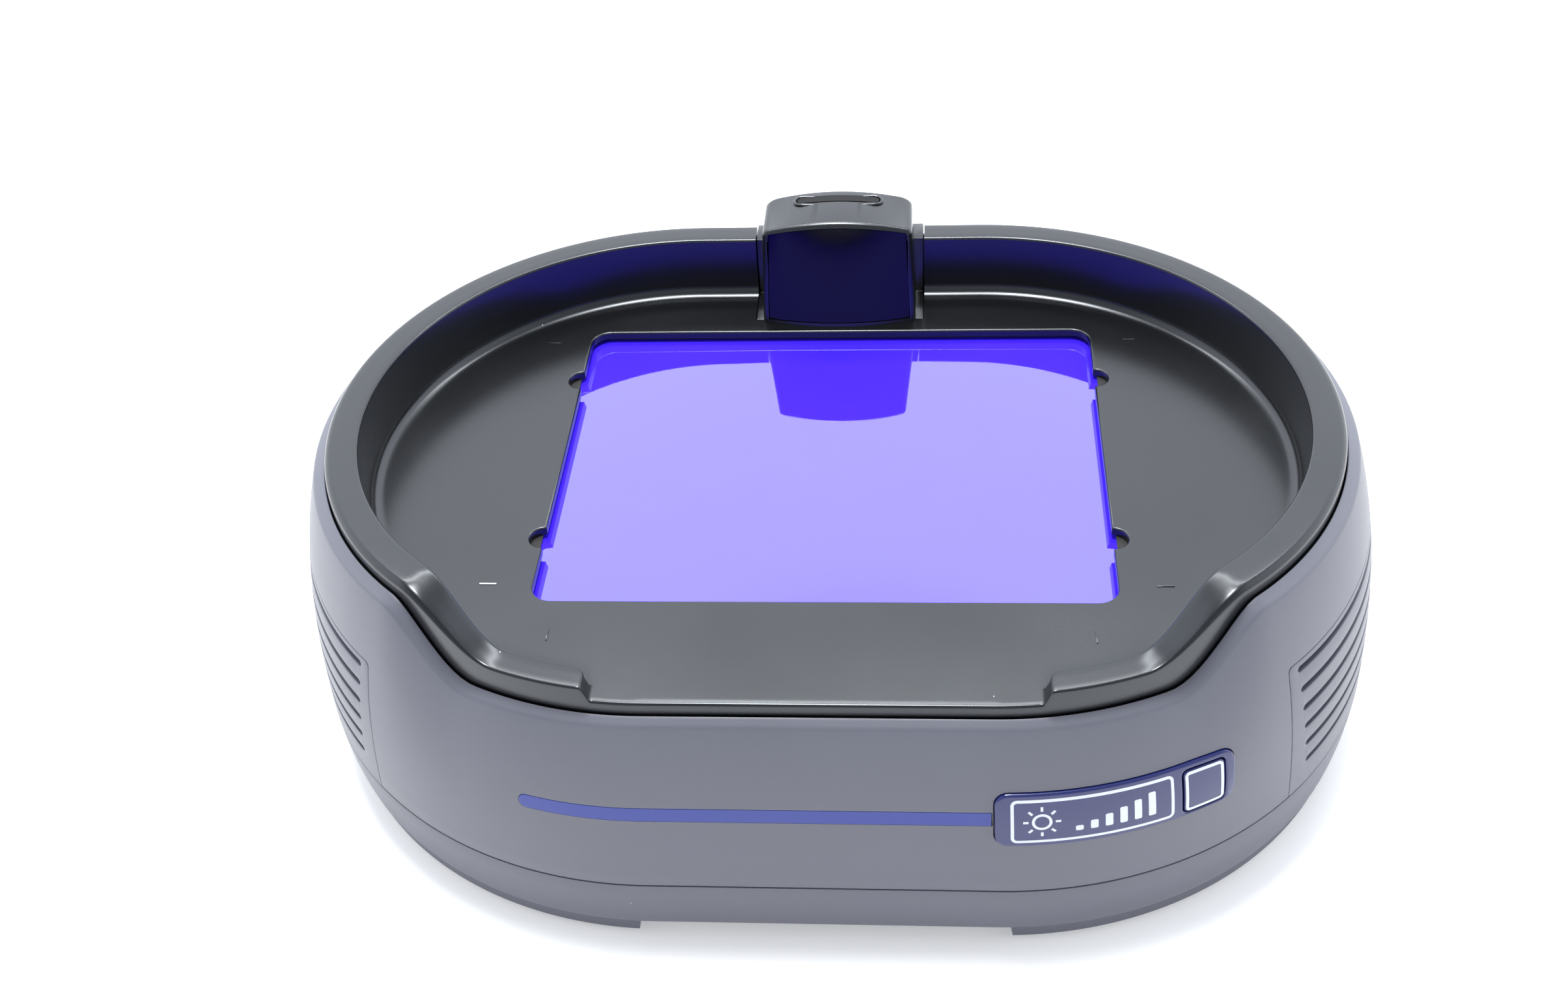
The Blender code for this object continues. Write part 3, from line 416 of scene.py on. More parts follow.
def round_the_body(u, radius, a, yc):
    """Point and outward direction at distance u along the outline."""
    side, s = (1.0 if u >= 0 else -1.0), abs(u)
    if s <= BODY_A:
        return side * s * a / BODY_A, yc - radius, 0.0, -1.0
    if s <= BODY_A + ROUND_END:
        t = (s - BODY_A) / SEAM_R
        return side * (a + radius * math.sin(t)), yc - radius * math.cos(t), side * math.sin(t), -math.cos(t)
    return side * (HALF_ROUND - s) * a / BODY_A, yc + radius, 0.0, 1.0


def top_at(u):
    return shell_top(round_the_body(u, SHELL_TOP_R, TRAY_A, TRAY_YC)[1])


def body_surface(u, z, out=0.0):
    down = (SHELL_HIGH - z) / (SHELL_HIGH - SEAM)
    start = top_at(u) - CHAMFER_DROP
    t = min(max((start - z) / (start - SEAM), 0.0), 1.0)
    radius = CHAMFER_R + (SEAM_R - CHAMFER_R) * (1 - (1 - t) ** 2.5)
    a, yc = TRAY_A + (BODY_A - TRAY_A) * down, TRAY_YC + (BODY_YC - TRAY_YC) * down
    x, y, nx, ny = round_the_body(u, radius, a, yc)
    return Vector((x + nx * out, y + ny * out, z))


print("once round the body is", round(2 * HALF_ROUND), "mm")

# %% [markdown]
# ## Mesh helpers
# Three ways of making a shape cover the whole object. A loft joins rings of points, which suits the
# shell, pan and tray. A flat plate is a filled outline with rounded edges, and can be sliced and
# wrapped on the body. Booleans cut pockets, and each is applied at once so that the piece is one mesh.

# %% From mesh to piece
def loose_object(name, bm):
    bmesh.ops.remove_doubles(bm, verts=bm.verts, dist=3e-6)
    bmesh.ops.dissolve_degenerate(bm, edges=bm.edges, dist=1e-6)
    bmesh.ops.recalc_face_normals(bm, faces=bm.faces)
    mesh = bpy.data.meshes.new(name)
    bm.to_mesh(mesh)
    bm.free()
    made = bpy.data.objects.new(name, mesh)
    scene.collection.objects.link(made)
    return made


def settle(piece):
    """Applies the piece's modifiers."""
    view = bpy.context.evaluated_depsgraph_get()
    view.update()
    mesh = bpy.data.meshes.new_from_object(piece.evaluated_get(view))
    piece.modifiers.clear()
    piece.data = mesh
    return piece


def combine(piece, others, operation):
    for other in others:
        step = piece.modifiers.new(other.name, "BOOLEAN")
        step.operation = operation
        step.solver = "EXACT"
        step.object = other
    settle(piece)
    for other in others:
        bpy.data.objects.remove(other)
    return piece


def soften(piece, width, segments=2, angle=35.0):
    step = piece.modifiers.new("soften", "BEVEL")
    step.width = width * MM
    step.segments = segments
    step.limit_method = "ANGLE"
    step.angle_limit = math.radians(angle)
    return settle(piece)


def place_piece(piece, finish, body="housing", stands_for=(), sharp=38.0):
    """Gives the piece its finish, shades it smooth between sharp edges and lets it ride on a body."""
    piece.data.materials.clear()
    piece.data.materials.append(finish)
    piece.data.shade_smooth()
    piece.data.set_sharp_from_angle(angle=math.radians(sharp))
    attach(piece, body)
    if stands_for:
        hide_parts(*stands_for)
    print(f"{piece.name}: {len(piece.data.polygons)} faces, rides on {body}")
    return piece


# %% Loft, plate, blocks and turned shapes
def join_rings(bm, rows):
    """Faces between each ring of vertices and the next."""
    for lower, upper in zip(rows, rows[1:]):
        for i in range(len(lower)):
            j = (i + 1) % len(lower)
            bm.faces.new((lower[i], lower[j], upper[j], upper[i]))


def loft(name, rings, closed=False):
    """Joins equal rings of points. A closed loft joins its last ring to its first, an open one is capped."""
    bm = bmesh.new()
    rows = [[bm.verts.new(Vector(p) * MM) for p in ring] for ring in rings]
    join_rings(bm, rows + (rows[:1] if closed else []))
    if not closed:
        bm.faces.new(rows[0])
        bm.faces.new(rows[-1])
    return loose_object(name, bm)


def plate(name, outlines, low, high, edge=0.0, rounds=2):
    """A filled outline from low to high, with any further outlines as holes and edges rounded by edge mm."""
    curve = bpy.data.curves.new(name, "CURVE")
    curve.dimensions = "2D"
    curve.fill_mode = "BOTH"
    curve.extrude = ((high - low) / 2 - edge) * MM
    curve.bevel_depth = edge * MM
    curve.bevel_resolution = rounds
    curve.offset = -edge * MM
    for outline in outlines:
        spline = curve.splines.new("POLY")
        spline.points.add(len(outline) - 1)
        for point, (p, q) in zip(spline.points, outline):
            point.co = (p * MM, q * MM, 0.0, 1.0)
        spline.use_cyclic_u = True
    flat = bpy.data.objects.new(name + "_outline", curve)
    scene.collection.objects.link(flat)
    view = bpy.context.evaluated_depsgraph_get()
    view.update()
    mesh = bpy.data.meshes.new_from_object(flat.evaluated_get(view))
    bpy.data.objects.remove(flat)
    bm = bmesh.new()
    bm.from_mesh(mesh)
    bm.transform(Matrix.Translation((0, 0, (high + low) / 2 * MM)))
    return bm


def blocks(name, boxes):
    bm = bmesh.new()
    for x0, x1, y0, y1, z0, z1 in boxes:
        size = Matrix.Diagonal(((x1 - x0) * MM, (y1 - y0) * MM, (z1 - z0) * MM, 1.0))
        middle = Vector(((x0 + x1) / 2, (y0 + y1) / 2, (z0 + z1) / 2)) * MM
        bmesh.ops.create_cube(bm, size=1.0, matrix=Matrix.Translation(middle) @ size)
    return loose_object(name, bm)


def turned(name, profile, place, axis="Z", steps=40):
    """Turns a profile of (radius, distance) about an axis through place."""
    to_axis = {"Z": Matrix.Identity(3), "Y": Matrix(((1, 0, 0), (0, 0, 1), (0, -1, 0)))}[axis]
    rings = []
    for radius, along in profile:
        ring = []
        for k in range(steps):
            angle = 2 * math.pi * k / steps
            spoke = Vector((radius * math.cos(angle), radius * math.sin(angle), along))
            ring.append(Vector(place) + to_axis @ spoke)
        rings.append(ring)
    return loft(name, rings)


def rounded_box(x0, x1, y0, y1, corners, steps=6):
    """A rectangle's outline. corners is one radius, or four from the lower left round to the right."""
    radii = corners if isinstance(corners, (tuple, list)) else (corners,) * 4
    places = ((x0, y0, 1, 1, 180), (x1, y0, -1, 1, 270), (x1, y1, -1, -1, 0), (x0, y1, 1, -1, 90))
    outline = []
    for (x, y, sx, sy, first), r in zip(places, radii):
        for i in range(steps + 1):
            t = math.radians(first + 90 * i / steps)
            outline.append((x + sx * r + r * math.cos(t), y + sy * r + r * math.sin(t)))
    return outline


print("mesh helpers are ready")

# %% Wrap a flat plate on the body
def wrap(name, bm, out_of=lambda u, z, out: out, step_u=2.5, step_z=4.0, mirrored=False):
    """Slices a plate drawn in (u, z, out) and lays it on the body's surface."""
    for axis, step in ((0, step_u), (1, step_z)):
        values = [v.co[axis] / MM for v in bm.verts]
        normal = Vector((1, 0, 0)) if axis == 0 else Vector((0, 1, 0))
        for k in range(math.ceil(min(values) / step), math.floor(max(values) / step) + 1):
            everything = bm.verts[:] + bm.edges[:] + bm.faces[:]
            cut = normal * (k * step * MM)
            bmesh.ops.bisect_plane(bm, geom=everything, dist=1e-7, plane_co=cut, plane_no=normal)
    for v in bm.verts:
        u, z, out = v.co / MM
        place = body_surface(u, z, out_of(u, z, out))
        if mirrored:
            place.x = -place.x
        v.co = place * MM
    return loose_object(name, bm)


print("a plate 60 mm long is sliced into", math.ceil(60 / 2.5), "strips before it is bent")

# %% [markdown]
# ## The grey shell
# The real shell is one deep moulding. Seen from outside it is a leaning side, a light chamfer all round
# the top that follows the S, and a thin parting line above the base. A subdivided block could be pushed
# into that shape, but a loft of sections is exact: each section runs up the side, over the chamfer, down
# inside to the ledge that carries the tray, and back down the inner wall.

# %% Sections of the shell
def curve_through(a, corner, b, steps=4):
    """A round corner from a to b."""
    shares = [i / steps for i in range(steps + 1)]
    return [a * (1 - t) ** 2 + corner * 2 * t * (1 - t) + b * t * t for t in shares]


def shell_section(u):
    top = top_at(u)
    start = top - CHAMFER_DROP
    corner = body_surface(u, start)
    lip = Vector((*round_the_body(u, SHELL_TOP_R, TRAY_A, TRAY_YC)[:2], top))
    heights = [SEAM + 0.3 + (start - 0.8 - SEAM - 0.3) * k / 12 for k in range(13)]
    side = [body_surface(u, SEAM, -0.3), body_surface(u, SEAM + 0.08, -0.09)]
    side += [body_surface(u, z) for z in heights[:-1]]
    edge = curve_through(body_surface(u, start - 0.8), corner, corner.lerp(lip, 0.22))
    band = [corner.lerp(lip, 0.45), corner.lerp(lip, 0.7)]
    inner_edge = curve_through(corner.lerp(lip, 0.86), lip, lip - Vector((0, 0, 0.6)), 3)
    inside = []
    for z, radius in ((LEDGE, SHELL_TOP_R), (LEDGE, 90.5), (LEDGE - 2.2, 90.5)):
        inside.append(Vector((*round_the_body(u, radius, TRAY_A, TRAY_YC)[:2], z)))
    return side + edge + band + inner_edge + inside + [body_surface(u, z, -WALL) for z in (66.0, 45.0, SEAM)]


ROUND_STEPS = 132
half = [BODY_A * k / 6 for k in range(6)]
half += [BODY_A + ROUND_END * k / ROUND_STEPS for k in range(ROUND_STEPS)]
half += [BODY_A + ROUND_END + BODY_A * k / 6 for k in range(6)]
shell_stations = [-u for u in reversed(half[1:])] + half + [HALF_ROUND]
sections = [shell_section(u) for u in shell_stations]
shell = loft("grey_housing_shell", [list(ring) for ring in zip(*sections)], closed=True)
print("shell sections:", len(sections), "with", len(sections[0]), "points each")

# %% [markdown]
# ## Vents, label pocket and stripe groove
# The vent covers are separate clip-in panels on the real body, so the shell needs openings a hair
# bigger than they are. All openings are drawn flat, wrapped, and cut out of the shell, which keeps the
# gap round each panel even. The gap is what shows as a fine dark line.

# %% Outlines drawn flat
GAP = 0.3
VENT_TOP, VENT_FRONT, VENT_REAR, VENT_LEAN, VENT_CORNER = 72.5, 44.0, 136.0, 0.07, 1.6
LABEL_U, LABEL_Z, LABEL_CORNER = (43.3, 106.1), (42.1, 58.5), 3.5
STRIPE_U, STRIPE_Z = (-75.7, 42.6), (48.5, 52.5)
INLET_X, INLET_Z = -58.0, 40.0


def vent_outline(inset, bottom):
    """A tall panel whose sides lean in towards the bottom's middle, with round top corners."""
    front = BODY_A + math.radians(VENT_FRONT) * SEAM_R + inset
    rear = BODY_A + math.radians(VENT_REAR) * SEAM_R - inset
    top = VENT_TOP - inset
    box = rounded_box(front, rear, bottom, top, (0.05, 0.05, VENT_CORNER, VENT_CORNER))
    middle = (front + rear) / 2
    return [(u + math.copysign(VENT_LEAN * (VENT_TOP - z), middle - u), z) for u, z in box]


cutters = []
for side in (False, True):
    opening = plate("vent_opening", [vent_outline(0.0, 20.0)], -8, 4)
    cutters.append(wrap("vent_opening", opening, step_u=3.0, step_z=6.0, mirrored=side))
(label_left, label_right), (label_low, label_high) = LABEL_U, LABEL_Z
label_box = rounded_box(label_left - GAP, label_right + GAP, label_low - GAP, label_high + GAP,
                        LABEL_CORNER + GAP)
cutters.append(wrap("label_pocket", plate("label_pocket", [label_box], -1.6, 4)))
(stripe_left, stripe_right), (stripe_low, stripe_high) = STRIPE_U, STRIPE_Z
stripe_box = rounded_box(stripe_left - 0.15, stripe_right + 0.3, stripe_low - 0.15, stripe_high + 0.15,
                         (1.9, 0.1, 0.1, 1.9))
cutters.append(wrap("stripe_groove", plate("stripe_groove", [stripe_box], -0.9, 4)))
cutters.append(turned("inlet_hole", [(5.4, -9), (5.4, 9)], (INLET_X, 106, INLET_Z), "Y"))
combine(shell, cutters, "DIFFERENCE")
place_piece(shell, GREY_SHELL, stands_for=("upper_shell",), sharp=30.0)

# %% Vent covers with six slots
SLOT_TOP, SLOT_STEP, SLOT_HALF, SLOT_FRONT, SLOT_FALL = 69.5, 7.1, 0.95, 46.2, 0.62
for side, name in ((False, "vent_cover_right"), (True, "vent_cover_left")):
    outlines = [vent_outline(GAP, SEAM + 0.05)]
    for k in range(6):
        z = SLOT_TOP - SLOT_STEP * k
        first = BODY_A + math.radians(SLOT_FRONT + SLOT_FALL * k) * SEAM_R
        last = BODY_A + math.radians(180 - SLOT_FRONT - SLOT_FALL * k) * SEAM_R
        outlines.append(rounded_box(first, last, z - SLOT_HALF, z + SLOT_HALF, SLOT_HALF - 0.01, 4))
    flat = plate(name, outlines, -WALL, 0.0, edge=0.22)
    cover = wrap(name, flat, step_u=2.5, step_z=5.0, mirrored=side)
    node = "vent_panel_left" if side else "vent_panel_right"
    place_piece(cover, GREY_SHELL, stands_for=(node,), sharp=50.0)

# %% [markdown]
# ## Base pan and feet
# Under the parting line the real housing ends in a shallow pan with a foot rail a little inside it. The
# rail is left out at the middle of the front and back, as a place for fingers. A loft gives the pan, and
# two cutters with slanted, rounded ends take out the finger gaps.

# %% Base pan
PAN_TOP, PAN_FOOT, RAIL_FOOT, GAP_HALF = 23.9, 7.0, 2.0, 47.5


def pan_ring(z, radius):
    ring = []
    for k in range(ROUND_STEPS + 1):
        t = math.pi * k / ROUND_STEPS
        ring.append(Vector((BODY_A + radius * math.sin(t), BODY_YC - radius * math.cos(t), z)))
    return ring + [Vector((-p.x, -p.y, p.z)) for p in ring]


pan_profile = [(PAN_FOOT, 97.4), (RAIL_FOOT + 0.3, 97.4), (RAIL_FOOT, 97.7), (RAIL_FOOT, 101.6),
               (RAIL_FOOT + 0.12, 101.95), (RAIL_FOOT + 0.5, 102.2), (PAN_FOOT - 0.1, 102.2),
               (PAN_FOOT, 102.35), (PAN_FOOT, 103.0), (PAN_FOOT + 0.12, 103.3), (PAN_FOOT + 0.5, 103.52),
               (10.0, 104.05), (14.0, 104.7), (19.0, 105.2), (PAN_TOP - 0.35, 105.48),
               (PAN_TOP - 0.1, 105.4), (PAN_TOP, 105.15), (PAN_TOP, 102.9), (14.0, 102.0), (9.5, 100.8)]
pan = loft("grey_base_pan", [pan_ring(z, radius) for z, radius in pan_profile])
gap_right = [(GAP_HALF + 1.4, -2.0), (GAP_HALF + 1.0, RAIL_FOOT), (GAP_HALF + 0.35, PAN_FOOT - 0.9),
             (GAP_HALF - 0.3, PAN_FOOT - 0.2), (GAP_HALF - 1.1, PAN_FOOT + 0.02)]
gap_outline = gap_right + [(-x, z) for x, z in reversed(gap_right)]
cutters = []
for y in (-90.0, 90.0):
    bm = plate("finger_gap", [gap_outline], -25.0, 25.0)
    bm.transform(Matrix.Translation((0, y * MM, 0)) @ Matrix.Rotation(math.radians(90), 4, "X"))
    cutters.append(loose_object("finger_gap", bm))
SCREW_PLACES = [(sx * 36.0, sy * 95.0) for sx in (-1, 1) for sy in (-1, 1)]
pads = [turned("screw_pad", [(5.2, 9.0), (5.2, 13.6)], (x, y, 0)) for x, y in SCREW_PLACES]
combine(pan, pads, "UNION")
for x, y in SCREW_PLACES:
    cutters.append(turned("counterbore", [(3.6, 0.0), (3.6, 10.2)], (x, y, 0)))
combine(pan, cutters, "DIFFERENCE")
place_piece(pan, GREY_SHELL, stands_for=("base_pan",), sharp=30.0)

# %% Rubber feet and cross-head screws
FOOT_PLACES = ((-92, -58), (92, -58), (92, 58), (-92, 58))
foot_profile = [(0.01, 0.9), (3.2, 0.9), (3.9, 0.3), (4.4, 0.05), (5.0, 0.0), (6.6, 0.0), (7.4, 0.25),
                (7.85, 0.9), (8.0, 1.8), (8.0, 6.65)]
for i, (x, y) in enumerate(FOOT_PLACES, 1):
    foot = turned(f"rubber_foot_{i}", foot_profile, (x, y, 0))
    place_piece(foot, RUBBER, stands_for=(f"foot_{i}",))
CROSS_LONG, CROSS_WIDE = 1.7, 0.35
screw_profile = [(0.9, 7.5), (2.2, 7.6), (2.8, 7.95), (3.1, 8.5), (3.1, 9.6), (1.5, 9.85), (1.5, 36.0)]
for i, (x, y) in enumerate(SCREW_PLACES, 1):
    screw = turned(f"housing_screw_{i}", screw_profile, (x, y, 0), steps=24)
    cross = []
    for in_x, in_y in ((CROSS_LONG, CROSS_WIDE), (CROSS_WIDE, CROSS_LONG)):
        cross.append(blocks("cross", [(x - in_x, x + in_x, y - in_y, y + in_y, 7.0, 8.7)]))
    combine(screw, cross, "DIFFERENCE")
    place_piece(screw, STEEL, stands_for=(f"shell_screw_{i}",))

# %% [markdown]
# ## The black tray
# On the real tray a broad rim runs round the basin, drops in an S at the front corners, and ends in two
# low arms either side of an open lip. Its edges are all rounded, and a round fillet joins the basin wall
# to the deck: those are the thin bright lines that one sees. A bevel modifier would pinch where the arms
# stop, so each section across the rim is written out, with its height read from the S curve at every
# point, and the arms end where the sections shrink to deck height within a millimetre.

# %% One section across the rim
FLOOR_R, RIM_R, FILL_R, SKIRT_FOOT, DECK_BOTTOM = 83.9, 84.3, 79.6, LEDGE + 0.3, 77.8
FILLET, ARM_FILLET, INNER_ROUND, OUTER_ROUND, ARM_ROUND, LIP_ROUND = 3.0, 1.4, 0.8, 2.0, 0.7, 0.8
SKIRT_INSIDE = 90.7
QUARTER = [math.radians(15 * k) for k in range(7)]


def tray_section(place, turn, rise, corner=0.0):
    """Points from the deck over the rim to the skirt's foot. rise is 1 on the rim and 0 at the open lip."""
    fall = rim_fall(turn)
    top = RIM_TOP - (RIM_TOP - ARM_TOP) * fall
    inset = ARM_INSET * fall + corner
    fillet = FILLET + (ARM_FILLET - FILLET) * fall
    outer = OUTER_ROUND + (ARM_ROUND - OUTER_ROUND) * fall
    foot, edge = FLOOR_R + inset, RIM_R + inset
    wall_foot, wall_top = DECK + fillet, top - INNER_ROUND
    shape = [(foot - fillet + fillet * math.sin(t), wall_foot - fillet * math.cos(t)) for t in QUARTER]
    for share in (0.3, 0.7):
        shape.append((foot + (edge - foot) * share, wall_foot + (wall_top - wall_foot) * share))
    inner = edge + INNER_ROUND
    shape += [(inner - INNER_ROUND * math.cos(t), wall_top + INNER_ROUND * math.sin(t)) for t in QUARTER]
    shape += [(edge + (SKIRT_R - outer - edge) * share, top) for share in (0.4, 0.75)]
    shape += [(SKIRT_R - outer + outer * math.sin(t), top - outer + outer * math.cos(t)) for t in QUARTER]
    points = [Vector((*place(r), DECK)) for r in (FILL_R, FILL_R + 0.5)]
    for radius, z in shape:
        past_edge = max(0.0, radius - (SKIRT_R - LIP_ROUND))
        flat = DECK - (LIP_ROUND - math.sqrt(max(0.0, LIP_ROUND ** 2 - past_edge ** 2)))
        points.append(Vector((*place(radius), flat + (z - flat) * rise)))
    low = [(SKIRT_R, 77.0), (SKIRT_R, SKIRT_FOOT + 0.2), (SKIRT_R - 0.2, SKIRT_FOOT),
           (SKIRT_INSIDE, SKIRT_FOOT), (SKIRT_INSIDE, DECK_BOTTOM - 0.4), (88.0, DECK_BOTTOM)]
    return points + [Vector((*place(r), z)) for r, z in low]


# %% Stations round the tray
def straight_place(x, side_y):
    return lambda r: (x, TRAY_YC + side_y * r)


def end_place(t):
    """A line across the rim at angle t. Near the arm ends it turns to run straight back."""
    skew = 1 - smooth_step((math.degrees(t) - 7.2) / 15)

    def place(r):
        angle = t
        if skew > 0:
            angle = skew * math.asin(min(1.0, math.sin(t) * SKIRT_R / r)) + (1 - skew) * t
        return TRAY_A + r * math.sin(angle), TRAY_YC - r * math.cos(angle)
    return place


CORNER_START, CORNER_LONG, CORNER_ROUND = 55.3, 2.4, 2.0


def end_corner(x):
    """How far the arm's inner edge draws back over its last millimetres, which rounds its corner."""
    near = min(max((x - CORNER_START) / CORNER_LONG, 0.0), 1.0)
    return CORNER_ROUND * (1 - math.sqrt(1 - (1 - near) ** 2))


arm_end = [(x, 0.0) for x in (44.0, 48.0, 51.0, 52.8, 53.4)]
arm_end += [(53.7, 0.03), (53.95, 0.11), (54.25, 0.26), (54.6, 0.46), (54.95, 0.66), (55.25, 0.82),
            (55.5, 0.92), (55.75, 0.97), (56.05, 0.99)]
arm_end += [(x, 1.0) for x in (56.5, 57.1, 57.9, 59.0)]
turns = [11.5 + 1.5 * k for k in range(6)] + [20.0 + k for k in range(22)] + [42.0 + 2 * k for k in range(70)]
stations = [(straight_place(TRAY_A * k / 4, -1), 0.0, 0.0, 0.0) for k in range(5)]
for x, rise in arm_end:
    turn = math.asin((x - TRAY_A) / SKIRT_R)
    stations.append((end_place(turn), turn, rise, end_corner(x)))
stations += [(end_place(math.radians(t)), math.radians(t), 1.0, 0.0) for t in turns]
stations += [(straight_place(TRAY_A * (4 - k) / 4, 1), math.pi, 1.0, 0.0) for k in range(1, 5)]
right_rows = [tray_section(*station) for station in stations]
left_rows = [[Vector((-p.x, p.y, p.z)) for p in row] for row in right_rows[1:-1]]
tray_rows = right_rows + left_rows[::-1]
print("tray sections:", len(tray_rows), "with", len(tray_rows[0]), "points each")

# %% Window opening, deck and underside
WINDOW_X, WINDOW_Y, WINDOW_CORNER, NOTCH_Y, NOTCH_R, WINDOW_EDGE = 74.25, 59.9, 5.5, 35.5, 4.0, 0.55


def window_outline(grow):
    """The window's edge, with its four finger notches, moved out by grow."""
    half_x, half_y = WINDOW_X + grow, WINDOW_Y + grow
    notch, corner = NOTCH_R + grow, WINDOW_CORNER + grow
    reach = math.asin(grow / notch)
    quarter = []
    for k in range(9):
        t = math.radians(90 * k / 8)
        quarter.append((half_x - corner + corner * math.cos(t), half_y - corner + corner * math.sin(t)))
    notch_arc = []
    for k in range(15):
        t = -math.pi / 2 + reach + (math.pi - 2 * reach) * k / 14
        notch_arc.append((WINDOW_X + notch * math.cos(t), NOTCH_Y + notch * math.sin(t)))
    up_right = notch_arc + quarter
    right = [(x, -y) for x, y in reversed(up_right)] + up_right
    return right + [(-x, -y) for x, y in right]


bm = bmesh.new()
rows = [[bm.verts.new(p * MM) for p in row] for row in tray_rows]
for first, second in zip(rows, rows[1:] + rows[:1]):
    for k in range(len(first) - 1):
        bm.faces.new((first[k], second[k], second[k + 1], first[k + 1]))
window_profile = [(WINDOW_EDGE + 0.35, DECK)]
window_profile += [(WINDOW_EDGE * (1 - math.sin(t)), DECK - WINDOW_EDGE * (1 - math.cos(t))) for t in QUARTER]
window_profile += [(0.0, DECK_BOTTOM + 0.1), (0.0, DECK_BOTTOM)]
window_rows = []
for grow, z in window_profile:
    window_rows.append([bm.verts.new(Vector((x, y, z)) * MM) for x, y in window_outline(grow)])
join_rings(bm, window_rows)


def ring_edges(ring):
    return [bm.edges.get((ring[k], ring[(k + 1) % len(ring)])) for k in range(len(ring))]


deck_edges = ring_edges([row[0] for row in rows]) + ring_edges(window_rows[0])
under_edges = ring_edges([row[-1] for row in rows]) + ring_edges(window_rows[-1])
for edges in (deck_edges, under_edges):
    bmesh.ops.triangle_fill(bm, edges=edges, use_beauty=True)
tray = loose_object("black_basin_tray", bm)
print("tray before its pocket:", len(tray.data.polygons), "faces")

# %% Pocket for the tower, and the deck's register marks
COLLAR_X, COLLAR_FRONT, COLLAR_BACK = 25.3, 66.4, 90.3
POCKET_X = COLLAR_X + GAP
pocket = blocks("tower_pocket", [(-POCKET_X, POCKET_X, COLLAR_FRONT - GAP, 110, DECK - 1.6, 120)])
combine(tray, [pocket], "DIFFERENCE")
place_piece(tray, BLACK_TRAY, stands_for=("tray",), sharp=32.0)
MARK_W, MARK_HALF, MARK_LOW, MARK_HIGH = 0.22, 2.2, DECK - 0.4, DECK + 0.22
SIDE_MARK_X, FRONT_MARK_X, FRONT_MARK_Y = 85.9, 67.5, -72.4
bars = []
for side in (-1, 1):
    x = side * SIDE_MARK_X
    for y in (-53.9, 54.5):
        bars.append((x - MARK_HALF, x + MARK_HALF, y - MARK_W, y + MARK_W, MARK_LOW, MARK_HIGH))
    x, y = side * FRONT_MARK_X, FRONT_MARK_Y
    bars.append((x - MARK_W, x + MARK_W, y - MARK_HALF, y + MARK_HALF, MARK_LOW, MARK_HIGH))
marks = soften(blocks("deck_register_marks", bars[1:]), 0.08, 2)
place_piece(marks, BLACK_TRAY)
# One register mark is painted white: a painted highlight where that mark catches the overhead lamp. The other
# marks stay black.
painted_glint_mark = soften(blocks("deck_register_mark_painted_glint", bars[:1]), 0.08, 2)
place_piece(painted_glint_mark, WHITE_PRINT_AND_GLINT)

# %% [markdown]
# ## Filter window
# The blue plate lies three and a half millimetres under the deck, held up against a gasket. Its polished
# edges are rounded, so the plate is a filled outline with a small edge radius.

# %% Filter plate
filter_outline = rounded_box(-79, 79, -64, 64, 2.0)
filter_plate = loose_object("blue_filter_window", plate("filter", [filter_outline], 73.5, 76.45, edge=0.4))
place_piece(filter_plate, BLUE_FILTER, stands_for=("filter_glass",))

# %% [markdown]
# ## Tower
# The real tower is a crowned post with a collar that fills the tray's pocket. A dark convex lens sits in
# its front, and an oval pad on its roof is the switch that the lid presses. The post leans back, narrows
# upwards, bulges at the front and has an arched roof. A bevel would be held to the short edges of the
# arch, so the rings of the post carry their own round corners and the round edge of the roof.

# %% Tower outlines
TOWER_X, TOWER_FRONT, TOWER_BULGE, TOWER_BACK = 23.0, 64.6, 2.9, 88.0
TOWER_LEAN, TOWER_TAPER, TOWER_FLATTEN = 0.107, 0.033, 0.057
TOWER_SIDE_TOP, TOWER_CROWN, PLUNGER_Y = 110.0, 2.9, 81.6


def roof_height(x, drop=0.0):
    return TOWER_SIDE_TOP - drop + TOWER_CROWN * (1 - (x / TOWER_X) ** 2)


def tower_front(z, inset, behind, flat=False):
    """The leaning, bulging front line at height z, moved in at its ends and back as a whole."""
    rise = z - DECK
    half = TOWER_X - inset - TOWER_TAPER * rise
    bulge = 0.0 if flat else TOWER_BULGE - TOWER_FLATTEN * rise
    edge = TOWER_FRONT + behind + TOWER_LEAN * rise
    return [Vector((half * i / 20, edge - bulge * (1 - (i / 20) ** 2), z)) for i in range(-20, 21)]


SIDE_SHARES = [0.1, 0.2, 0.3, 0.4, 0.5, 0.6, 0.7, 0.78, 0.84, 0.87, 0.9, 0.93, 0.95, 0.965, 0.978, 0.988,
               0.996, 1.0]
SHARES = [-s for s in reversed(SIDE_SHARES)] + [0.0] + SIDE_SHARES
ROOF_ROUND, FRONT_ROUND, BACK_ROUND = 1.5, 1.0, 3.0


def turn_in(radius, from_side):
    """How far a round corner has pulled in at a distance from the side."""
    return radius - math.sqrt(radius ** 2 - max(0.0, radius - from_side) ** 2)


def tower_ring(height, inset=0.0):
    """Front points left to right, then the back ones in return. height gives z at a share of the half."""
    front, back = [], []
    for share in SHARES:
        z = height(share)
        rise = z - DECK
        half = TOWER_X - TOWER_TAPER * rise - inset
        from_side = half * (1 - abs(share))
        bulge = (TOWER_BULGE - TOWER_FLATTEN * rise) * (1 - share * share)
        near = TOWER_FRONT + TOWER_LEAN * rise - bulge + turn_in(FRONT_ROUND, from_side) + inset
        far = TOWER_BACK - TOWER_TAPER * rise - turn_in(BACK_ROUND, from_side) - inset
        front.append(Vector((half * share, near, z)))
        back.append(Vector((half * share, far, z)))
    return front + back[::-1]


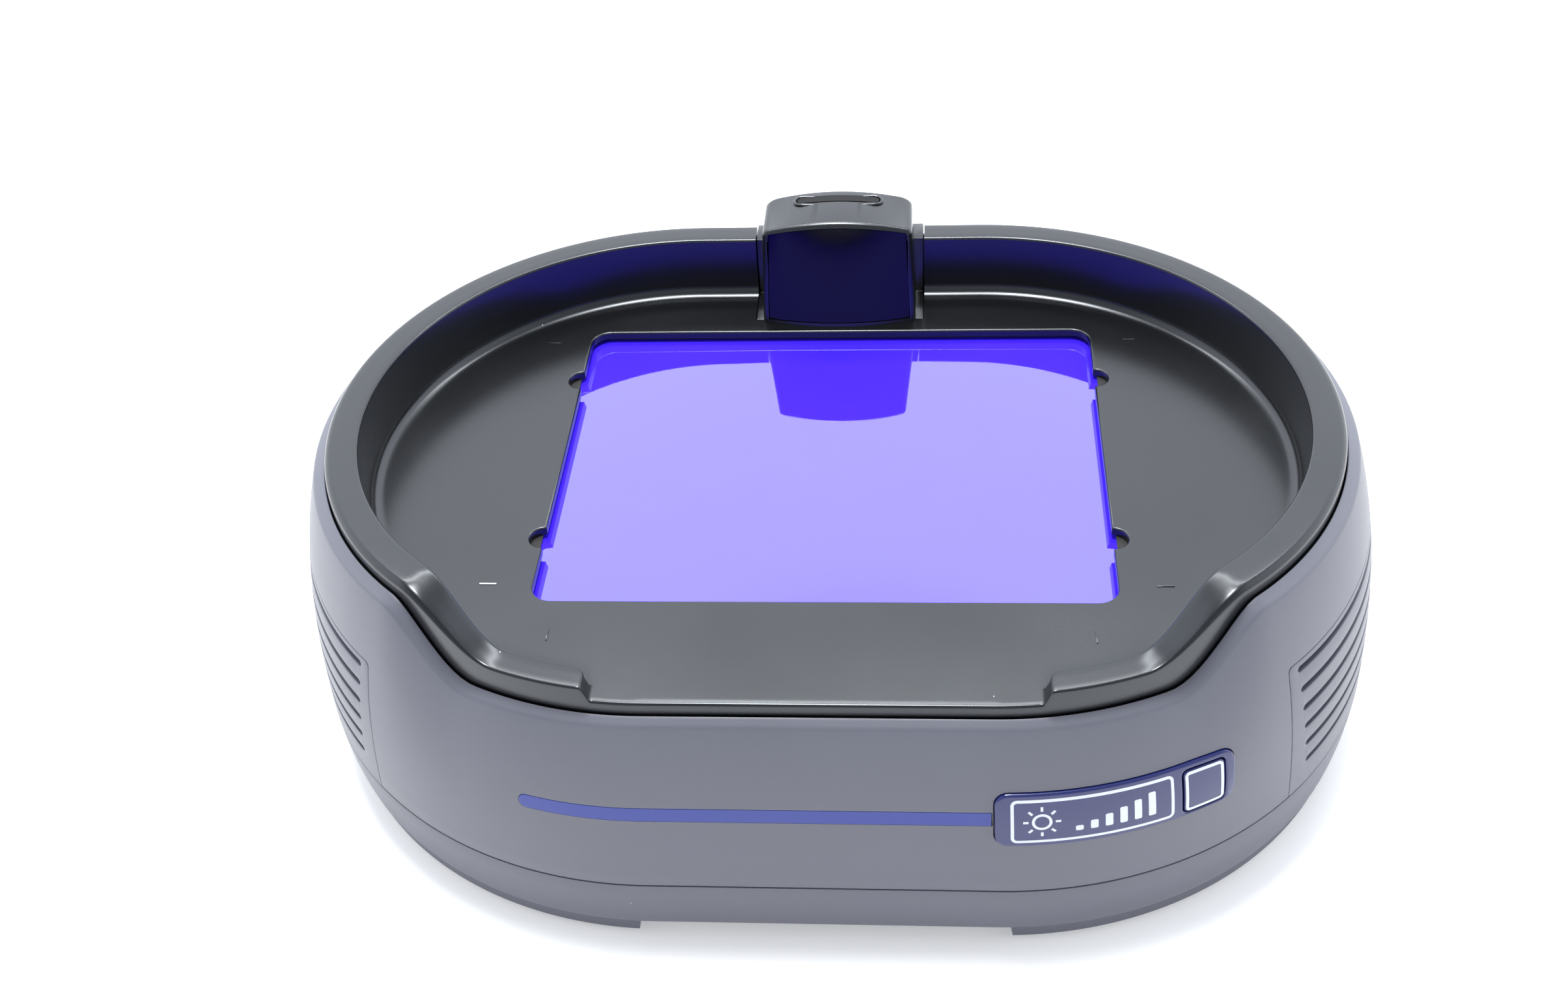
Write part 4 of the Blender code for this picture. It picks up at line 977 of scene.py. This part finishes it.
def tower_body():
    """Walls, the roof's rounded edge and the arched roof as strips from front to back."""
    rings = [tower_ring(lambda share: DECK - 0.8)]
    for t in QUARTER:
        drop, inset = ROOF_ROUND * (1 - math.sin(t)), ROOF_ROUND * (1 - math.cos(t))
        rings.append(tower_ring(lambda share: roof_height(TOWER_X * share, drop), inset))
    bm = bmesh.new()
    rows = [[bm.verts.new(p * MM) for p in ring] for ring in rings]
    join_rings(bm, rows)
    bm.faces.new(rows[0])
    top = rows[-1]
    for i in range(len(top) // 2 - 1):
        bm.faces.new((top[i], top[i + 1], top[-2 - i], top[-1 - i]))
    return loose_object("black_tower_post", bm)


def slab_ring(z, inset, near, depth):
    """A slab behind the front line, for the recess and for the lens that fills it."""
    front = tower_front(z, inset, near, near < 0)
    edge = TOWER_FRONT + TOWER_LEAN * (z - DECK) + depth
    return front + [Vector((front[-1].x, edge, z)), Vector((front[0].x, edge, z))]


def roof_cutter(drop, y0, y1):
    """Everything above the arched roof line lowered by drop."""
    line = [(x / 2, roof_height(x / 2, drop)) for x in range(-52, 53)]
    bm = plate("roof", [line + [(26, 135), (-26, 135)]], -y1, -y0)
    bm.transform(Matrix.Rotation(math.radians(90), 4, "X"))
    return loose_object("roof", bm)


def oval(half_x, half_y):
    turn = [math.radians(-90 + 180 * i / 16) for i in range(17)]
    right = [(half_x - half_y + half_y * math.cos(t), PLUNGER_Y + half_y * math.sin(t)) for t in turn]
    return right + [(-x, 2 * PLUNGER_Y - y) for x, y in right]


ABOVE_ROOF = 125.0
print("roof is", roof_height(0), "mm high in the middle and", roof_height(TOWER_X), "at its sides")

# %% Tower post, collar and recesses
tower = tower_body()
collar = blocks("collar", [(-COLLAR_X, COLLAR_X, COLLAR_FRONT, COLLAR_BACK, DECK - 1.25, DECK)])
wall = blocks("collar_wall", [(-COLLAR_X, COLLAR_X, 81.6, COLLAR_BACK, DECK - 1.0, RIM_TOP - 0.1)])
combine(collar, [wall], "UNION")
soften(collar, 0.3, 2)
combine(tower, [collar], "UNION")
recess = loft("lens_recess", [slab_ring(z, 1.6, -20.0, 2.7) for z in (DECK + 1.3, ABOVE_ROOF)])
combine(recess, [roof_cutter(1.5, 40, 110)], "DIFFERENCE")
WELL_X, WELL_Y, LIP_WIDE, LIP_HIGH = 12.6, 1.9, 1.0, 0.4
pad_well = loose_object("pad_well", plate("pad_well", [oval(WELL_X, WELL_Y)], 101.0, ABOVE_ROOF))
lip_rows = []
for degrees in (-60, 0, 30, 60, 90, 120, 150, 180, 240):
    t = math.radians(degrees)
    outward = LIP_WIDE * (1 + math.cos(t)) / 2
    line = oval(WELL_X + outward, WELL_Y + outward)
    lip_rows.append([Vector((x, y, roof_height(x) + LIP_HIGH * math.sin(t))) for x, y in line])
pad_lip = loft("pad_lip", lip_rows, closed=True)
combine(tower, [pad_lip], "UNION")
hollows = [blocks("cavity", [(-20.8, 20.8, 60, 85.2, *z)]) for z in ((82, 92.5), (94.5, 106.8))]
combine(tower, [recess, pad_well] + hollows, "DIFFERENCE")
place_piece(tower, BLACK_TRAY, stands_for=("tower_shell",), sharp=30.0)

# %% Lens and pad
lens = loft("navy_tower_lens", [slab_ring(z, 1.85, 0.1, 2.35) for z in (DECK + 1.55, ABOVE_ROOF)])
combine(lens, [roof_cutter(1.75, 40, 110)], "DIFFERENCE")
place_piece(lens, NAVY_LENS, stands_for=("tower_window",), sharp=35.0)
pad = loose_object("interlock_pad", plate("pad", [oval(12.25, 1.55)], 103.5, ABOVE_ROOF))
combine(pad, [roof_cutter(-0.1, 60, 95)], "DIFFERENCE")
flange = loose_object("flange", plate("flange", [oval(14.0, 3.0)], 101.5, 104))
stem = turned("stem", [(1.9, 91.4), (1.9, 102.5)], (0, PLUNGER_Y, 0), steps=24)
combine(pad, [flange, stem], "UNION")
place_piece(pad, BLACK_PAD, body="plunger", stands_for=("interlock_plunger",), sharp=35.0)

# %% [markdown]
# ## Return spring
# A small coil under the pad pushes it back up. On the real part it shortens as the pad goes down. Here it
# is a wire lofted round a helix at one fixed length, and it rides on the housing. A coil that stayed
# at its full length would cut through the pad's flange.

# %% Spring under the pad
SPRING_R, WIRE_R, SPRING_FOOT, SPRING_RISE, SPRING_TURNS = 2.7, 0.35, 95.2, 5.75, 5
TURN_STEPS = 18
around = [2 * math.pi * j / 8 for j in range(8)]
wire_rings = []
for k in range(SPRING_TURNS * TURN_STEPS + 1):
    t = 2 * math.pi * k / TURN_STEPS
    outward = Vector((math.cos(t), math.sin(t), 0))
    z = SPRING_FOOT + SPRING_RISE * k / (SPRING_TURNS * TURN_STEPS)
    centre = Vector((0, PLUNGER_Y, z)) + outward * SPRING_R
    spokes = [outward * math.cos(a) + Vector((0, 0, math.sin(a))) for a in around]
    wire_rings.append([centre + spoke * WIRE_R for spoke in spokes])
spring = loft("plunger_return_spring", wire_rings)
place_piece(spring, STEEL, stands_for=("plunger_spring",), sharp=60.0)
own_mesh(spring)
print("spring has", SPRING_TURNS, "turns and", len(spring.data.vertices), "points")

# %% [markdown]
# ## Label panel, power key and stripe
# The label is a thick drop of clear resin over a navy print, so its surface swells and its edges are
# round. The outline frames are white print. The wording of the real one is left out, and a plain light
# symbol with a rising scale stands in its place. Everything is drawn flat in u and z, given its dome, and
# wrapped on the body.

# %% Label, key and stripe
KEY_U, KEY_Z, KEY_GAP, PROUD, DOME, LINE = (91.3, 102.9), (43.5, 56.5), 0.35, 0.7, 0.25, 0.8


def domed(u, z, out):
    """Swells the outer face of the label and the key, most along its middle."""
    if out < 0:
        return out
    v = (z - sum(LABEL_Z) / 2) / ((LABEL_Z[1] - LABEL_Z[0]) / 2)
    return out + DOME * (out / PROUD) * max(0.0, 1 - v * v)


label_outline = rounded_box(*LABEL_U, *LABEL_Z, LABEL_CORNER)
key_hole = rounded_box(KEY_U[0] - KEY_GAP, KEY_U[1] + KEY_GAP, KEY_Z[0] - KEY_GAP, KEY_Z[1] + KEY_GAP, 1.6)
flat = plate("label", [label_outline, key_hole], -1.2, PROUD, edge=0.55, rounds=4)
label = wrap("navy_label_panel", flat, domed, 2.0, 1.5)
place_piece(label, NAVY_LABEL, stands_for=("label_bezel",), sharp=60.0)
flat = plate("key", [rounded_box(*KEY_U, *KEY_Z, 1.3)], -0.6, 0.65, edge=0.3, rounds=3)
key = wrap("square_power_key", flat, domed, 2.0, 1.5)
key_middle = body_surface(sum(KEY_U) / 2, sum(KEY_Z) / 2)
key_way = (body_surface(sum(KEY_U) / 2, sum(KEY_Z) / 2, 1.0) - key_middle).normalized()
turn = key_way.to_track_quat("Z", "Y").to_matrix().to_4x4()
bm = bmesh.new()
for radius, near, far in ((2.4, -5.4, 0.2), (4.0, -5.2, -4.0)):
    middle = Matrix.Translation((key_middle + key_way * (near + far) / 2) * MM)
    bmesh.ops.create_cone(bm, cap_ends=True, segments=24, radius1=radius * MM, radius2=radius * MM,
                          depth=(far - near) * MM, matrix=middle @ turn)
stem = loose_object("key_stem", bm)
stem.data.validate()
combine(key, [stem], "UNION")
place_piece(key, NAVY_LABEL, body="key", stands_for=("power_button",), sharp=60.0)
stripe_outline = rounded_box(*STRIPE_U, *STRIPE_Z, (1.8, 0.05, 0.05, 1.8))
flat = plate("stripe", [stripe_outline], -0.55, 0.05, edge=0.04, rounds=1)
stripe = wrap("blue_front_stripe", flat, step_u=2.5, step_z=8.0)
place_piece(stripe, BLUE_STRIPE, stands_for=("front_stripe",), sharp=60.0)

# %% White print on the label
def print_on_label(name, outlines, body):
    """A thin raised print that follows the dome."""
    made = wrap(name, plate(name, outlines, PROUD - 0.15, PROUD + 0.03), domed, 2.0, 1.5)
    return place_piece(made, WHITE_PRINT_AND_GLINT, body=body, sharp=50.0)


def frame_outlines(u0, u1, z0, z1, corner):
    inside = rounded_box(u0 + LINE, u1 - LINE, z0 + LINE, z1 - LINE, corner - LINE)
    return [rounded_box(u0, u1, z0, z1, corner), inside]


print_on_label("label_frame_print", frame_outlines(47.2, 88.4, 43.6, 57.1, 1.6), "housing")
key_frame = frame_outlines(KEY_U[0] + KEY_GAP, KEY_U[1] - KEY_GAP, KEY_Z[0] + KEY_GAP, KEY_Z[1] - KEY_GAP, 1.3)
print_on_label("key_frame_print", key_frame, "key")

# %% Light symbol and rising scale
SUN_U, SUN_Z, RING_OUT, RING_IN, RAY_NEAR, RAY_FAR, RAY_HALF = 54.8, 50.35, 2.5, 1.8, 3.3, 4.6, 0.32
BAR_LEFT, BAR_STEP, BAR_WIDE, BAR_FOOT, BAR_TOP, BAR_GROWTH = 63.0, 3.7, 1.9, 46.6, 48.2, 1.15


def circle(u, z, radius, steps=28):
    turns = [2 * math.pi * k / steps for k in range(steps)]
    return [(u + radius * math.cos(t), z + radius * math.sin(t)) for t in turns]


def turned_bar(u, z, angle, near, far, half):
    """A short bar that points away from (u, z)."""
    along = Vector((math.cos(angle), math.sin(angle)))
    aside = Vector((-along.y, along.x)) * half
    start, end = Vector((u, z)) + along * near, Vector((u, z)) + along * far
    return [tuple(start - aside), tuple(end - aside), tuple(end + aside), tuple(start + aside)]


symbol = [circle(SUN_U, SUN_Z, RING_OUT), circle(SUN_U, SUN_Z, RING_IN)]
symbol += [turned_bar(SUN_U, SUN_Z, math.pi * k / 4, RAY_NEAR, RAY_FAR, RAY_HALF) for k in range(8)]
print_on_label("light_symbol_print", symbol, "housing")
bars = []
for k in range(6):
    left = BAR_LEFT + BAR_STEP * k
    bars.append(rounded_box(left, left + BAR_WIDE, BAR_FOOT, BAR_TOP + BAR_GROWTH * k, 0.4, 3))
print_on_label("rising_scale_print", bars, "housing")

# %% [markdown]
# ## Power inlet
# A low-voltage plug goes in at the back. The real socket is a square body behind a round nose with a
# steel pin in its bore. Blocks and turned shapes give it, and the edges are rounded in one go.

# %% Inlet socket and pin
INLET_AXIS = (INLET_X, 0, INLET_Z)
inlet = blocks("power_inlet_socket", [(INLET_X - 6, INLET_X + 6, 87, 99.2, INLET_Z - 6, INLET_Z + 6)])
nose = turned("nose", [(5.0, 98.0), (5.0, 103.2), (4.6, 103.6)], INLET_AXIS, "Y")
bore = turned("bore", [(2.75, 92.0), (2.75, 102.8), (3.3, 103.9)], INLET_AXIS, "Y")
combine(inlet, [nose], "UNION")
combine(inlet, [bore], "DIFFERENCE")
soften(inlet, 0.25, 2, 40.0)
place_piece(inlet, BLACK_FRAME, stands_for=("dc_inlet",), sharp=35.0)
pin_profile = [(0.95, 91.0), (0.95, 101.2), (0.8, 101.7), (0.4, 102.0)]
pin = turned("power_inlet_pin", pin_profile, INLET_AXIS, "Y", 24)
place_piece(pin, STEEL, sharp=35.0)

# %% [markdown]
# ## Finishes for the frame's own pieces
# What stays as it is in the frame still needs a proper surface: the fan, boards, lamps, leads and
# clamps. Their shapes are right, so only their material slots change.

# %% Dress the frame's pieces
NODE_FINISHES = {
    "glass_gasket": RUBBER, "light_box": WHITE_REFLECTOR, "diffuser_plate": DIFFUSER,
    "led_board": CIRCUIT_BOARD, "driver_board": CIRCUIT_BOARD, "button_board": CIRCUIT_BOARD,
    "heat_sink": ALUMINIUM,
    "led_lead": RED_WIRE, "fan_lead": BLACK_WIRE, "inlet_lead": BLACK_WIRE,
    "button_lead": GREY_WIRE, "switch_lead": GREY_WIRE,
}
dressed = 0
for node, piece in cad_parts.items():
    if piece.hide_render:
        continue
    finish = NODE_FINISHES.get(node, STEEL if "screw" in node else BLACK_FRAME)
    for material_slot in piece.material_slots:
        material_slot.link = "OBJECT"
        material_slot.material = finish
    dressed += 1
print(dressed, "frame pieces dressed")
